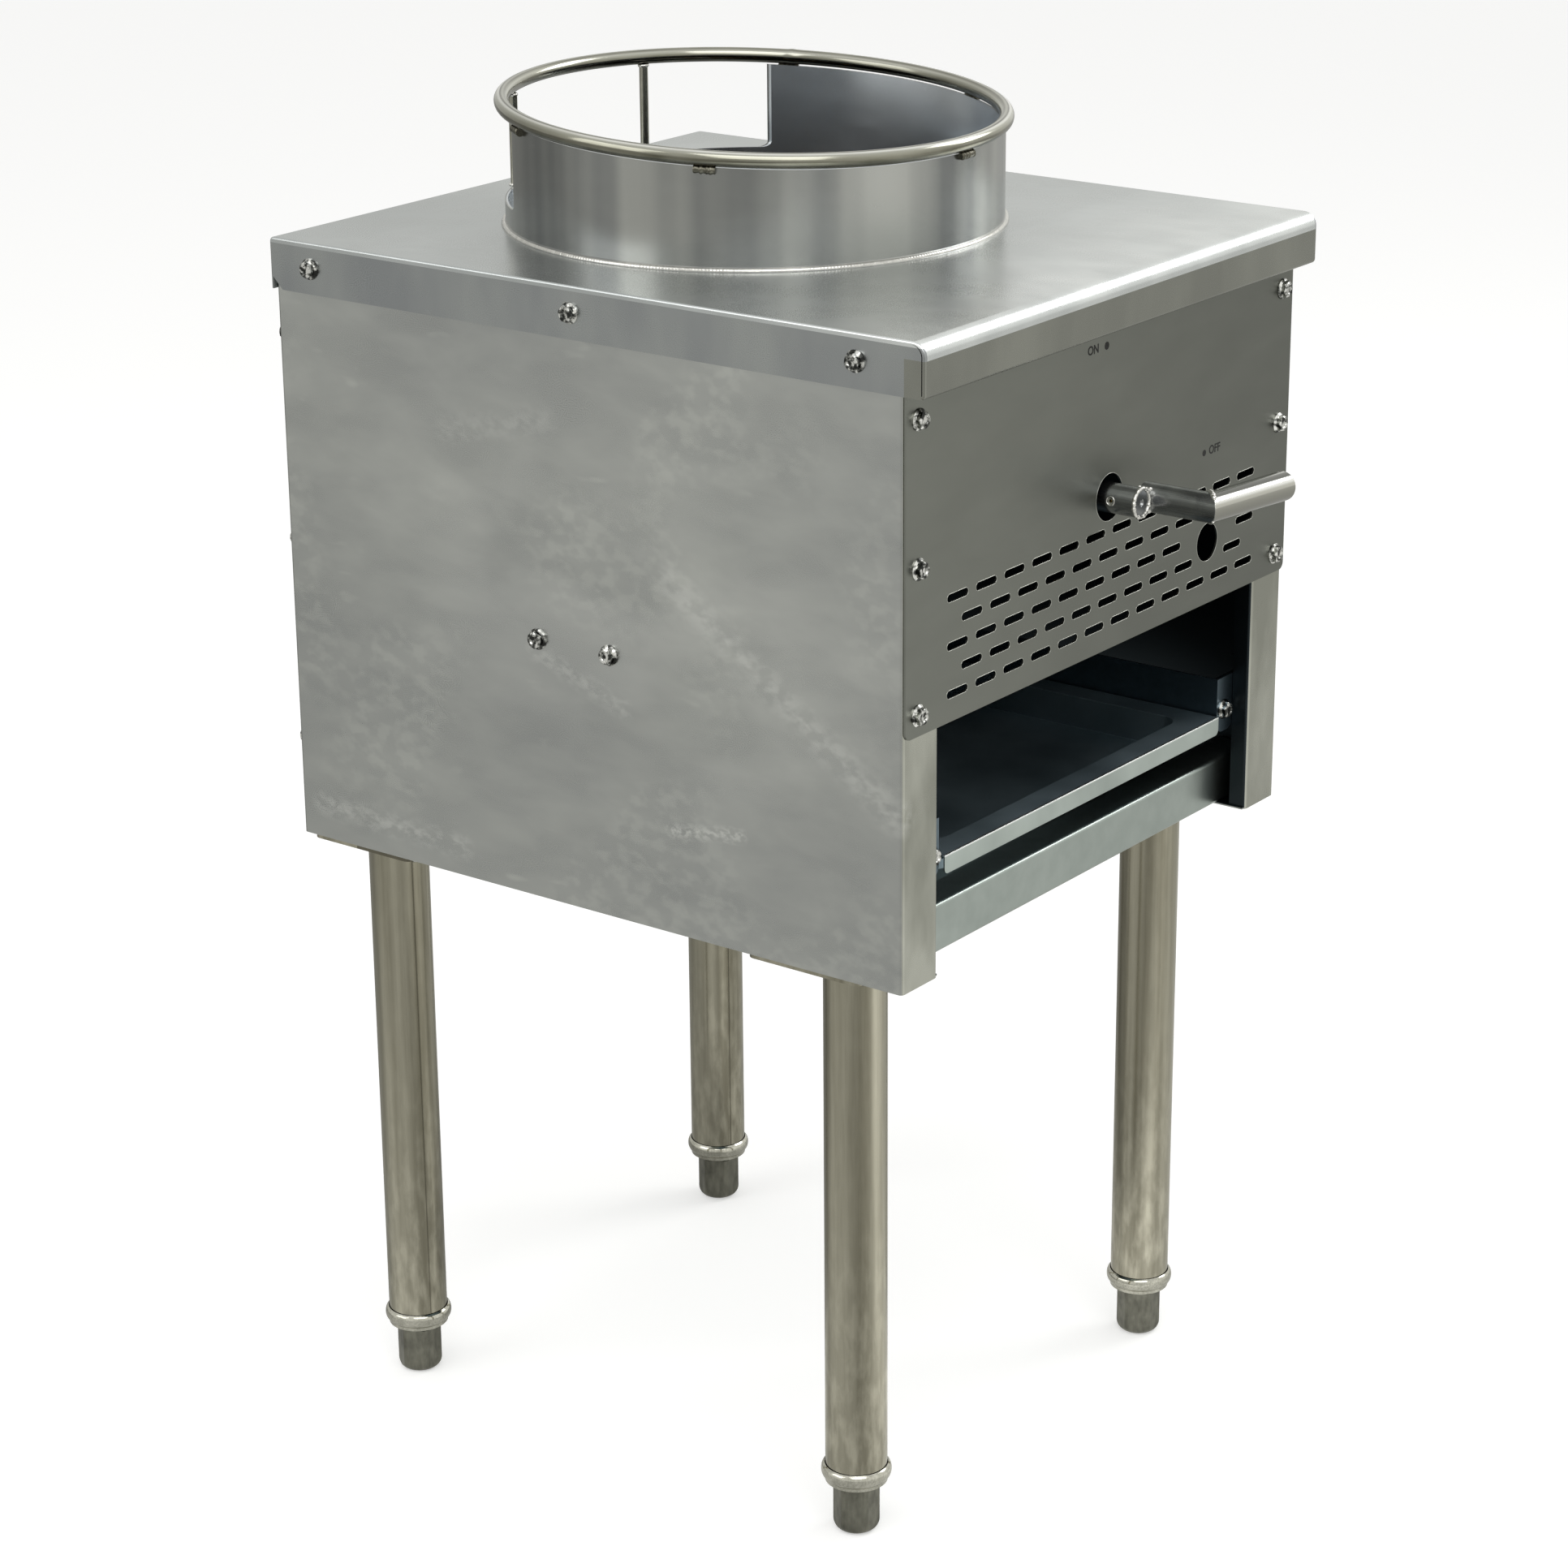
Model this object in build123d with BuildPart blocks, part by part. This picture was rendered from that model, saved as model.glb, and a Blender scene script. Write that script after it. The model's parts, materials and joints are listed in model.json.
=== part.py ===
from build123d import *
import os
from math import cos, hypot, radians, sin, tan

os.makedirs("parts", exist_ok=True)

# Wok range, in millimetres: x to the right, y to the back, z up from the floor.
# The origin lies on the floor under the middle of the whole, lever and gas pipe included.

# Body
body_width = 448.0
body_depth = 500.0
body_height = 412.0
deck_height = 828.0
side_sheet = 1.5
deck_sheet = 2.0
bend = 2.0
gap = 0.3

# Deck
lip_out = 17.0
lip_height = 34.0
lip_return = 13.0
nose_radius = 9.0
corner_seam = 0.7
deck_edge = 1.5
flange_notch = 8.0
deck_bolt_in = 32.7
deck_bolt_from_deck = 17.2
opening_in = 13.5

# Side panels
stile_width = 38.0
stile_return = 12.7
back_flange = 20.0
back_screw_from_deck = 65.0
back_screw_pitch = 140.0
bottom_flange = 38.0
hanger_fold = 20.0

# Wok ring
ring_behind_middle = 27.5
collar_diameter = 329.0
collar_sheet = 2.0
collar_band = 16.5
collar_window = 272.0
window_corner = 12.0
collar_bead = 3.0
rim_proud = 0.5
rim_bar = 10.0
rim_above_deck = 75.0
rim_tilt = 2.9
rim_clear = 2.5
rod_diameter = 6.0
rod_angle = 25.0
lug_width = 18.0
lug_height = 9.0
lug_angles = (-89.0, -24.5, 29.0, 151.0, 206.5)

# Valve panel
panel_from_deck = 247.0
panel_short = 0.5
panel_corner = 5.0
screw_in = 13.5
screw_from_deck = 50.5
screw_pitch = 91.5
slot_length = 22.5
slot_width = 5.2
slot_pitch = 30.75
slot_row_pitch = 15.3
slot_columns = 12
slot_rows = 5
slots_from_deck = 168.2
slot_clear = 4.0
lever_hole = 31.0
lever_from_deck = 145.7
lighting_hole = 26.0
lighting_x = 121.8
lighting_from_deck = 204.3

# Lever, turned down a little at rest
lever_tube = 19.5
lever_wall = 2.0
hub_out = 25.6
hub_length = 62.0
elbow_out = 63.8
lever_lap = 9.5
grip_length = 91.8
lever_droop = 4.0
hub_dimple = 5.0
dimple_depth = 1.6
dimple_angle = 30.0
set_screw = 5.0
set_screw_in = 17.1
weld_width = 9.0
weld_height = 15.0
weld_root = 4.0

# Main gas valve and its pipes
stem_diameter = 10.0
running_fit = 0.05
plug_diameter = 20.0
plug_port = 14.0
valve_behind = 78.0
valve_length = 72.0
valve_end = 37.0
valve_barrel = 34.0
valve_front = 20.0
valve_back = 18.0
bonnet_diameter = 28.0
bonnet_length = 10.0
pipe_outside = 26.7
pipe_inside = 20.9
thread_fit = 0.2
pipe_entry = 12.0
elbow_radius = 22.0
elbow_outside = 33.0
elbow_band = 37.0
band_width = 10.0
inlet_in = 79.0
inlet_out = 45.0
inlet_thread = 20.0
thread_turned = 0.25
inlet_hole = 32.0
outlet_x = 100.0

# Pilot
pilot_from_inlet = 55.0
pilot_boss = 16.0
pilot_block = 16.0
pilot_height = 24.0
pilot_entry = 3.0
pilot_pipe = 6.0
pilot_bend = 12.0
pilot_from_wall = 37.0
pilot_angle = -48.0
cock_diameter = 7.0
cock_length = 15.0
cock_slot = 1.6
pilot_head = 12.0
pilot_ports = 4
pilot_port = 2.0

# Flame chamber and burner
chamber_clear = 2.0
chamber_depth = 100.0
chamber_flange = 18.0
burner_from_deck = 78.0
burner_hub = 58.0
burner_thick = 24.0
arm_diameter = 20.0
arm_reach = 90.0
arm_count = 6
arm_angle = 90.0
jet_circles = (50.0, 80.0)
jet_length = 26.0
jet_base = 12.0
jet_tip = 7.0
jet_hole = 2.4
boss_diameter = 38.0
boss_length = 14.0
cradle_span = 104.0
cradle_width = 30.0
cradle_sheet = 3.0
bar_from_deck = 225.0
bar_width = 78.0
bar_fold = 20.0
bar_from_middle = 5.7
side_bolt_pitch = 58.6
side_bolt_from_deck = 234.6

# Drip tray and its rails
tray_in = 60.0
tray_from_front = 10.0
tray_from_back = 58.0
tray_from_deck = 340.6
tray_sheet = 1.2
tray_lip = 12.5
tray_rim = 18.0
tray_depth = 22.0
tray_draft = 8.0
tray_corner = 14.0
lip_corner = 4.0
rail_sheet = 1.5
rail_side = 2.0
rail_ledge = 18.0
rail_height = 27.0
rail_tab_width = 21.0
rail_tab_drop = 12.0
rail_tab_corner = 8.0
rail_bolt_in = 8.7
rail_bolt_up = 2.5
bracket_width = 26.0
bracket_base = 34.0
bracket_from_middle = 11.0

# Bottom cross members, legs and feet
channel_from_front = 20.0
channel_height = 33.0
channel_shelf = 104.0
channel_top = 24.0
leg_diameter = 41.3
leg_wall = 1.5
leg_in = 48.0
front_leg_in = 70.0
back_leg_in = 42.0
plate_sheet = 3.0
plate_width = 92.0
plate_depth = 88.0
plate_corner = 6.0
plate_inset = 8.0
plate_bolts_across = 56.0
plate_bolts_along = 68.0
socket_diameter = 47.0
socket_bottom = 28.0
socket_height = 20.5
socket_cup = 11.0
socket_neck = 31.0
cup_swell = 1.6
bead_swell = 1.2
socket_floor = 9.0
foot_diameter = 31.0
foot_flats = 28.5
foot_round = 7.0
foot_stem = 16.0
foot_travel = 20.0
stem_engaged = 9.0

# Fasteners: shank, flange and hexagon across flats, head height
bolt_shank = 6.0
bolt_flange = 14.0
bolt_flats = 10.0
leg_shank = 8.0
leg_flange = 17.0
leg_flats = 13.0
flange_thick = 1.2
head_height = 5.0
hole_clear = 0.4
nut_height = 5.0
bolt_end = 2.0

# Places worked out from the sizes
front_reach = elbow_out + lever_tube / 2
mid_y = (front_reach - inlet_out) / 2
front_y = mid_y - body_depth / 2
back_y = mid_y + body_depth / 2
ring_y = mid_y + ring_behind_middle
lip_y = front_y - lip_out
lip_bottom = deck_height - lip_height
deck_back_y = back_y + gap + deck_sheet
deck_half = body_width / 2 + gap + deck_sheet
body_bottom = deck_height - body_height
side_half = body_width / 2
side_inner = side_half - side_sheet
side_top = deck_height - deck_sheet - gap
stile_inner = side_half - stile_width
panel_y = front_y - gap - side_sheet
panel_width = body_width - 2 * panel_short
screw_x = side_half - screw_in
inlet_x = side_half - inlet_in
pilot_x = inlet_x - pilot_from_inlet
panel_bottom = deck_height - panel_from_deck
lever_z = deck_height - lever_from_deck
lighting_z = deck_height - lighting_from_deck
rim_z = deck_height + rim_above_deck
rim_diameter = collar_diameter + 2 * rim_proud
chamber_opening = collar_diameter - 2 * opening_in
chamber_diameter = chamber_opening - 2 * chamber_clear
pilot_radius = chamber_diameter / 2 - pilot_from_wall
valve_y = front_y + valve_behind
burner_z = deck_height - burner_from_deck
bar_y = mid_y + bar_from_middle
bar_z = deck_height - bar_from_deck
side_bolt_z = deck_height - side_bolt_from_deck
tray_z = deck_height - tray_from_deck
tray_y = front_y + tray_from_front
tray_width = body_width - 2 * tray_in
tray_length = body_depth - tray_from_front - tray_from_back
rail_inner = tray_width / 2 + gap
rail_web = rail_inner + rail_side
rail_front = front_y + stile_return + gap
rail_back = back_y - 2 * side_sheet - 2 * gap
ledge_z = tray_z - tray_sheet - gap
rail_bolt_x = rail_web + rail_bolt_in
rail_bolt_z = tray_z + rail_bolt_up
shelf_bottom = body_bottom + side_sheet + gap
plate_top = body_bottom - gap
leg_top = plate_top - plate_sheet
leg_across = body_width - 2 * leg_in
leg_along = body_depth - front_leg_in - back_leg_in
leg_middle_y = mid_y + (front_leg_in - back_leg_in) / 2
tube_bottom = socket_bottom + socket_floor + gap
deck_bolt_z = deck_height - deck_bolt_from_deck

rim_plane = Plane(
    origin=(0, ring_y, rim_z),
    x_dir=(1, 0, 0),
    z_dir=(0, -sin(radians(rim_tilt)), cos(radians(rim_tilt))),
)
lever_plane = Plane(
    origin=(0, front_y, lever_z),
    x_dir=(cos(radians(lever_droop)), 0, -sin(radians(lever_droop))),
    z_dir=(0, -1, 0),
)

corners = {
    "front_left": (-1, -1),
    "front_right": (1, -1),
    "back_left": (-1, 1),
    "back_right": (1, 1),
}


def write(piece, name):
    """Label a finished piece and write its file."""
    piece.part.label = name
    export_step(piece.part, f"parts/{name}.step")


def out_from(x, y, z, direction):
    """A plane at a point whose z axis looks along the direction."""
    return Plane(origin=(x, y, z), z_dir=direction)


def rim_height(y):
    """Height of the rim bar's middle at a distance y from the ring's middle."""
    return rim_z + tan(radians(rim_tilt)) * y


def flange_bolt(shank, flange, flats, length):
    """A hexagon bolt with a flange: the seat is at z = 0 and the shank points down."""
    with BuildPart() as bolt:
        with BuildSketch():
            Circle(flange / 2)
        extrude(amount=flange_thick)
        with BuildSketch(Plane.XY.offset(flange_thick)):
            RegularPolygon(radius=flats / 2, side_count=6, major_radius=False)
        extrude(amount=head_height - flange_thick)
        chamfer(bolt.faces().sort_by(Axis.Z)[-1].edges(), head_height / 8)
        with BuildSketch():
            Circle(shank / 2)
        extrude(amount=-length)
    return bolt.part


def nut(shank, flats):
    """A plain hexagon nut on z = 0, with its bore a thread's depth wider than the shank."""
    with BuildPart() as hexagon:
        with BuildSketch():
            RegularPolygon(radius=flats / 2, side_count=6, major_radius=False)
            Circle(shank / 2 + thread_fit, mode=Mode.SUBTRACT)
        extrude(amount=nut_height)
    return hexagon.part


def placed(solid, places):
    """One builder that holds a copy of a solid at each place."""
    with BuildPart() as group:
        with Locations(*places):
            add(solid)
    return group


def plate_middle(side, end):
    """Middle of a leg's plate, a little nearer to the middle of the body than the leg."""
    return side * leg_across / 2, leg_middle_y + end * (leg_along / 2 - plate_inset)


plate_bolts = []
for side, end in corners.values():
    plate_x, plate_y = plate_middle(side, end)
    for step_x in (-1, 1):
        for step_y in (-1, 1):
            bolt_x = plate_x + step_x * plate_bolts_across / 2
            plate_bolts.append((bolt_x, plate_y + step_y * plate_bolts_along / 2))

# Deck: one folded sheet with its side flanges
deck_bolt_ys = [mid_y + step * (body_depth / 2 - deck_bolt_in) for step in (-1, 0, 1)]

with BuildPart() as top_deck:
    with BuildSketch(Plane.YZ.offset(-deck_half)):
        with BuildLine():
            FilletPolyline(
                (lip_y + lip_return, lip_bottom + deck_sheet / 2),
                (lip_y + deck_sheet / 2, lip_bottom + deck_sheet / 2),
                (lip_y + deck_sheet / 2, deck_height - deck_sheet / 2),
                (deck_back_y - deck_sheet / 2, deck_height - deck_sheet / 2),
                (deck_back_y - deck_sheet / 2, lip_bottom),
                radius=[bend, nose_radius - deck_sheet / 2, bend],
            )
        trace(line_width=deck_sheet)
    extrude(amount=2 * deck_half)
    flange_front = lip_y + deck_sheet + corner_seam
    flange_back = deck_back_y - deck_sheet
    flange_top = deck_height - deck_sheet
    with BuildSketch(Plane.YZ.offset(-deck_half)) as flange:
        with Locations(((flange_front + flange_back) / 2, (lip_bottom + flange_top) / 2)):
            Rectangle(flange_back - flange_front, flange_top - lip_bottom)
        fillet(flange.vertices().group_by(Axis.X)[0].sort_by(Axis.Y)[-1], nose_radius - deck_sheet)
        chamfer(flange.vertices().group_by(Axis.X)[-1].sort_by(Axis.Y)[0], flange_notch)
    extrude(amount=deck_sheet)
    mirror(about=Plane.YZ)
    fillet(top_deck.edges().filter_by(Axis.Y).group_by(Axis.Z)[-1], deck_edge)
    with BuildSketch(Plane.XY.offset(deck_height)):
        with Locations((0, ring_y)):
            Circle(chamber_opening / 2)
    extrude(amount=-2 * deck_sheet, mode=Mode.SUBTRACT)
    with BuildSketch(Plane.YZ.offset(-deck_half)):
        with Locations(*[(y, deck_bolt_z) for y in deck_bolt_ys]):
            Circle(bolt_shank / 2 + hole_clear)
    extrude(amount=2 * deck_half, mode=Mode.SUBTRACT)
write(top_deck, "top_deck")

# Side panels: each sheet folds round the front corner and turns in again
side_bolt_ys = [bar_y - side_bolt_pitch / 2, bar_y + side_bolt_pitch / 2]
screw_zs = [deck_height - screw_from_deck - step * screw_pitch for step in range(3)]
back_screw_x = side_half - back_flange / 2
back_screw_zs = [deck_height - back_screw_from_deck - step * back_screw_pitch for step in range(3)]
bracket_y = mid_y + bracket_from_middle
bracket_bolt_x = side_inner - gap - bracket_base / 2
hanger_in = rail_web + rail_sheet + gap
hanger_y = rail_front + rail_sheet + gap + side_sheet / 2

with BuildPart() as left_side_panel:
    with BuildSketch(Plane.XY.offset(body_bottom)):
        with BuildLine():
            FilletPolyline(
                (-stile_inner - side_sheet / 2, front_y + stile_return),
                (-stile_inner - side_sheet / 2, front_y + side_sheet / 2),
                (-side_half + side_sheet / 2, front_y + side_sheet / 2),
                (-side_half + side_sheet / 2, back_y - side_sheet / 2),
                (-side_half + back_flange, back_y - side_sheet / 2),
                radius=bend,
            )
        trace(line_width=side_sheet)
    extrude(amount=side_top - body_bottom)
    with BuildSketch(Plane.XY.offset(body_bottom)):
        with Locations((-side_inner + bottom_flange / 2, mid_y)):
            Rectangle(bottom_flange, body_depth - 2 * side_sheet)
        with Locations(*[(x, y) for x, y in plate_bolts if x < -side_inner + bottom_flange]):
            Circle(leg_shank / 2 + hole_clear, mode=Mode.SUBTRACT)
        with Locations((-bracket_bolt_x, bracket_y)):
            Circle(leg_shank / 2 + hole_clear, mode=Mode.SUBTRACT)
    extrude(amount=side_sheet)
    # Spot-welded hanger for the tray rail's front tab
    with BuildSketch(Plane.XY.offset(ledge_z)):
        with BuildLine():
            FilletPolyline(
                (-hanger_in, hanger_y),
                (-side_inner + side_sheet / 2, hanger_y),
                (-side_inner + side_sheet / 2, hanger_y + hanger_fold),
                radius=bend,
            )
        trace(line_width=side_sheet)
    extrude(amount=rail_height)
    with BuildSketch(Plane.YZ.offset(-side_half)):
        with Locations(*[(y, deck_bolt_z) for y in deck_bolt_ys]):
            Circle(bolt_shank / 2 + hole_clear)
        with Locations(*[(y, side_bolt_z) for y in side_bolt_ys]):
            Circle(bolt_shank / 2 + hole_clear)
    extrude(amount=side_sheet, mode=Mode.SUBTRACT)
    with BuildSketch(Plane.XZ.offset(-front_y)):
        with Locations(*[(-screw_x, z) for z in screw_zs]):
            Circle(bolt_shank / 2 + hole_clear)
    extrude(amount=-side_sheet, mode=Mode.SUBTRACT)
    with BuildSketch(Plane.XZ.offset(-back_y)):
        with Locations(*[(-back_screw_x, z) for z in back_screw_zs]):
            Circle(bolt_shank / 2 + hole_clear)
    extrude(amount=side_sheet, mode=Mode.SUBTRACT)
    with BuildSketch(Plane.XZ.offset(-hanger_y)):
        with Locations((-rail_bolt_x, rail_bolt_z)):
            Circle(bolt_shank / 2 + hole_clear)
    extrude(amount=side_sheet, both=True, mode=Mode.SUBTRACT)
write(left_side_panel, "left_side_panel")

with BuildPart() as right_side_panel:
    mirror(left_side_panel.part, about=Plane.YZ)
write(right_side_panel, "right_side_panel")

# Back panel, screwed to the side panels' back flanges from behind
back_panel_y = back_y - side_sheet - gap
back_screws = [(side * back_screw_x, z) for side in (-1, 1) for z in back_screw_zs]

with BuildPart() as back_panel:
    with BuildSketch(Plane.XZ.offset(-back_panel_y)):
        with Locations((0, (shelf_bottom + side_top) / 2)):
            Rectangle(2 * (side_inner - bend), side_top - shelf_bottom)
        with Locations((-inlet_x, lever_z)):
            Circle(inlet_hole / 2, mode=Mode.SUBTRACT)
        with Locations(*back_screws):
            Circle(bolt_shank / 2 + hole_clear, mode=Mode.SUBTRACT)
        with Locations((-rail_bolt_x, rail_bolt_z), (rail_bolt_x, rail_bolt_z)):
            Circle(bolt_shank / 2 + hole_clear, mode=Mode.SUBTRACT)
    extrude(amount=side_sheet)
write(back_panel, "back_panel")

# Valve panel: staggered air slots, left out where they would cut into the lighting hole
slots = []
for row in range(slot_rows):
    columns = slot_columns - row % 2
    for column in range(columns):
        x = (column - (columns - 1) / 2) * slot_pitch
        z = deck_height - slots_from_deck - row * slot_row_pitch
        dx = max(abs(x - lighting_x) - slot_length / 2, 0)
        dz = max(abs(z - lighting_z) - slot_width / 2, 0)
        if hypot(dx, dz) > lighting_hole / 2 + slot_clear:
            slots.append((x, z))
panel_top = deck_height - deck_sheet - lip_return / 2
panel_screws = [(side * screw_x, z) for side in (-1, 1) for z in screw_zs]

with BuildPart() as valve_panel:
    with BuildSketch(Plane.XZ.offset(-panel_y - side_sheet)) as sheet:
        with Locations((0, (panel_bottom + panel_top) / 2)):
            Rectangle(panel_width, panel_top - panel_bottom)
        fillet(sheet.vertices().group_by(Axis.Y)[0], panel_corner)
        with Locations(*slots):
            SlotOverall(slot_length, slot_width, mode=Mode.SUBTRACT)
        with Locations((0, lever_z)):
            Circle(lever_hole / 2, mode=Mode.SUBTRACT)
        with Locations((lighting_x, lighting_z)):
            Circle(lighting_hole / 2, mode=Mode.SUBTRACT)
        with Locations(*panel_screws):
            Circle(bolt_shank / 2 + hole_clear, mode=Mode.SUBTRACT)
    extrude(amount=side_sheet)
write(valve_panel, "valve_panel")

# Front and back cross members: a deep shelf below carries the legs' plates
channel_half = side_inner - gap


def cross_member(face_y, inward):
    """A folded channel with its face at face_y and its flanges towards the inside."""
    middle = face_y + inward * side_sheet / 2
    with BuildPart() as member:
        with BuildSketch(Plane.YZ.offset(-channel_half)):
            with BuildLine():
                FilletPolyline(
                    (face_y + inward * channel_shelf, shelf_bottom + side_sheet / 2),
                    (middle, shelf_bottom + side_sheet / 2),
                    (middle, shelf_bottom + channel_height - side_sheet / 2),
                    (face_y + inward * channel_top, shelf_bottom + channel_height - side_sheet / 2),
                    radius=bend,
                )
            trace(line_width=side_sheet)
        extrude(amount=2 * channel_half)
        with BuildSketch(Plane.XY.offset(body_bottom)):
            with Locations(*plate_bolts):
                Circle(leg_shank / 2 + hole_clear)
        extrude(amount=shelf_bottom + 2 * side_sheet - body_bottom, mode=Mode.SUBTRACT)
    return member


front_channel = cross_member(front_y + channel_from_front, 1)
write(front_channel, "front_channel")
rear_channel = cross_member(back_panel_y - side_sheet - gap, -1)
write(rear_channel, "rear_channel")

# Legs: a tube welded to its plate, a beaded socket at the foot and a screw-in bullet foot
stem_bore = foot_stem / 2 + running_fit
tube_seat = leg_diameter / 2 + gap
cup_edge = socket_diameter / 2 - bead_swell

for name, (side, end) in corners.items():
    leg_x = side * leg_across / 2
    leg_y = leg_middle_y + end * leg_along / 2
    plate_x, plate_y = plate_middle(side, end)
    near_bolts = [p for p in plate_bolts if hypot(p[0] - plate_x, p[1] - plate_y) < plate_width]

    with BuildPart() as leg:
        with BuildSketch(Plane.XY.offset(leg_top)):
            with Locations((plate_x, plate_y)):
                RectangleRounded(plate_width, plate_depth, plate_corner)
            with Locations(*near_bolts):
                Circle(leg_shank / 2 + hole_clear, mode=Mode.SUBTRACT)
        extrude(amount=plate_sheet)
        with BuildSketch(Plane.XY.offset(tube_bottom)):
            with Locations((leg_x, leg_y)):
                Circle(leg_diameter / 2)
                Circle(leg_diameter / 2 - leg_wall, mode=Mode.SUBTRACT)
        extrude(amount=leg_top - tube_bottom)
    write(leg, f"leg_{name}")

    with BuildPart() as socket:
        with BuildSketch(Plane(origin=(leg_x, leg_y, socket_bottom), x_dir=(1, 0, 0), z_dir=(0, -1, 0))):
            with BuildLine():
                Polyline(
                    (cup_edge, socket_height),
                    (tube_seat, socket_height),
                    (tube_seat, socket_floor),
                    (stem_bore, socket_floor),
                    (stem_bore, 0),
                    (socket_neck / 2, 0),
                )
                ThreePointArc(
                    (socket_neck / 2, 0),
                    ((socket_neck / 2 + cup_edge) / 2 + cup_swell, socket_cup / 2),
                    (cup_edge, socket_cup),
                )
                ThreePointArc(
                    (cup_edge, socket_cup),
                    (socket_diameter / 2, (socket_cup + socket_height) / 2),
                    (cup_edge, socket_height),
                )
            make_face()
        revolve(axis=Axis((leg_x, leg_y, 0), (0, 0, 1)))
    write(socket, f"socket_{name}")

    with BuildPart() as foot:
        with BuildSketch():
            with Locations((leg_x, leg_y)):
                Circle(foot_diameter / 2)
        extrude(amount=socket_bottom - gap)
        fillet(foot.edges().sort_by(Axis.Z)[0], foot_round)
        with BuildSketch():
            with Locations((leg_x, leg_y)):
                RegularPolygon(radius=foot_flats / 2, side_count=6, major_radius=False)
        extrude(amount=socket_bottom - gap, mode=Mode.INTERSECT)
        with BuildSketch(Plane.XY.offset(socket_bottom - gap)):
            with Locations((leg_x, leg_y)):
                Circle(foot_stem / 2)
        extrude(amount=foot_travel + stem_engaged)
    write(foot, f"foot_{name}")

# Wok collar: a rolled sheet with a window at the back and a weld bead at the deck
ring_axis = Axis((0, ring_y, 0), (0, 0, 1))
ring_section = Plane(origin=(0, ring_y, deck_height), x_dir=(1, 0, 0), z_dir=(0, -1, 0))
collar_outer = collar_diameter / 2
collar_inner = collar_outer - collar_sheet
rim_under = rim_bar / 2 + rim_clear

with BuildPart() as wok_collar:
    with BuildSketch(ring_section):
        with BuildLine():
            Polyline(
                (collar_inner, 0),
                (collar_outer + collar_bead, 0),
                (collar_outer, collar_bead),
                (collar_outer, 2 * rim_above_deck),
                (collar_inner, 2 * rim_above_deck),
                close=True,
            )
        make_face()
    revolve(axis=ring_axis)
    split(bisect_by=rim_plane.offset(-rim_under), keep=Keep.BOTTOM)
    with BuildSketch(Plane.XZ.offset(-ring_y)) as window:
        with Locations((0, deck_height + collar_band + rim_above_deck)):
            Rectangle(collar_window, 2 * rim_above_deck)
        fillet(window.vertices().group_by(Axis.Y)[0], window_corner)
    extrude(amount=-collar_diameter, mode=Mode.SUBTRACT)
write(wok_collar, "wok_collar")

with BuildPart() as rim_ring:
    with Locations(rim_plane):
        Torus(rim_diameter / 2, rim_bar / 2)
write(rim_ring, "rim_ring")

with BuildPart() as rim_rods:
    for side in (-1, 1):
        around = radians(90 + side * rod_angle)
        rod_r = (collar_outer + collar_inner) / 2
        rod_x = rod_r * cos(around)
        rod_y = rod_r * sin(around)
        rod_foot = deck_height + collar_band + gap
        with BuildSketch(Plane.XY.offset(rod_foot)):
            with Locations((rod_x, ring_y + rod_y)):
                Circle(rod_diameter / 2)
        extrude(amount=rim_height(rod_y) - rim_bar / 2 - gap - rod_foot)
write(rim_rods, "rim_rods")

with BuildPart() as rim_lugs:
    for angle in lug_angles:
        around = radians(angle)
        lug_r = collar_outer + gap
        lug_z = rim_height(lug_r * sin(around)) - rim_bar / 2 - rim_clear / 2
        lug_face = Plane(
            origin=(lug_r * cos(around), ring_y + lug_r * sin(around), lug_z - lug_height / 2),
            x_dir=(-sin(around), cos(around), 0),
            z_dir=(cos(around), sin(around), 0),
        )
        with BuildSketch(lug_face) as lug:
            Rectangle(lug_width, lug_height)
            chamfer(lug.vertices().group_by(Axis.Y)[0], lug_height / 2)
        extrude(amount=collar_bead)
write(rim_lugs, "rim_lugs")

# Flame chamber: a rolled shell under the deck's opening, flanged out at the top
chamber_wall = (chamber_diameter - side_sheet) / 2
chamber_top = deck_height - deck_sheet - gap - side_sheet / 2
chamber_bottom = chamber_top - chamber_depth

with BuildPart() as flame_chamber:
    with BuildSketch(ring_section):
        with BuildLine():
            Polyline(
                (chamber_wall + chamber_flange, chamber_top - deck_height),
                (chamber_wall, chamber_top - deck_height),
                (chamber_wall, chamber_bottom - deck_height),
            )
        trace(line_width=side_sheet)
    revolve(axis=ring_axis)
write(flame_chamber, "flame_chamber")

# Burner: a cast star manifold with a pipe boss below, and a brass jet at each place on its arms
burner_top = burner_z + burner_thick / 2
burner_under = burner_z - burner_thick / 2
boss_under = burner_under - boss_length

with BuildPart() as burner:
    with BuildSketch(Plane.XY.offset(burner_under)):
        with Locations((0, ring_y)):
            Circle(burner_hub / 2)
            with PolarLocations(arm_reach / 2, arm_count, start_angle=arm_angle):
                SlotOverall(arm_reach, arm_diameter)
    extrude(amount=burner_thick)
    fillet(burner.faces().sort_by(Axis.Z)[-1].edges(), arm_diameter / 4)
    fillet(burner.faces().sort_by(Axis.Z)[0].edges(), arm_diameter / 4)
    with BuildSketch(Plane.XY.offset(boss_under)):
        with Locations((0, ring_y)):
            Circle(boss_diameter / 2)
    extrude(amount=boss_length)
    with BuildSketch(Plane.XY.offset(boss_under)):
        with Locations((0, ring_y)):
            Circle(pipe_outside / 2 + thread_fit)
    extrude(amount=pipe_entry, mode=Mode.SUBTRACT)
write(burner, "burner")

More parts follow.
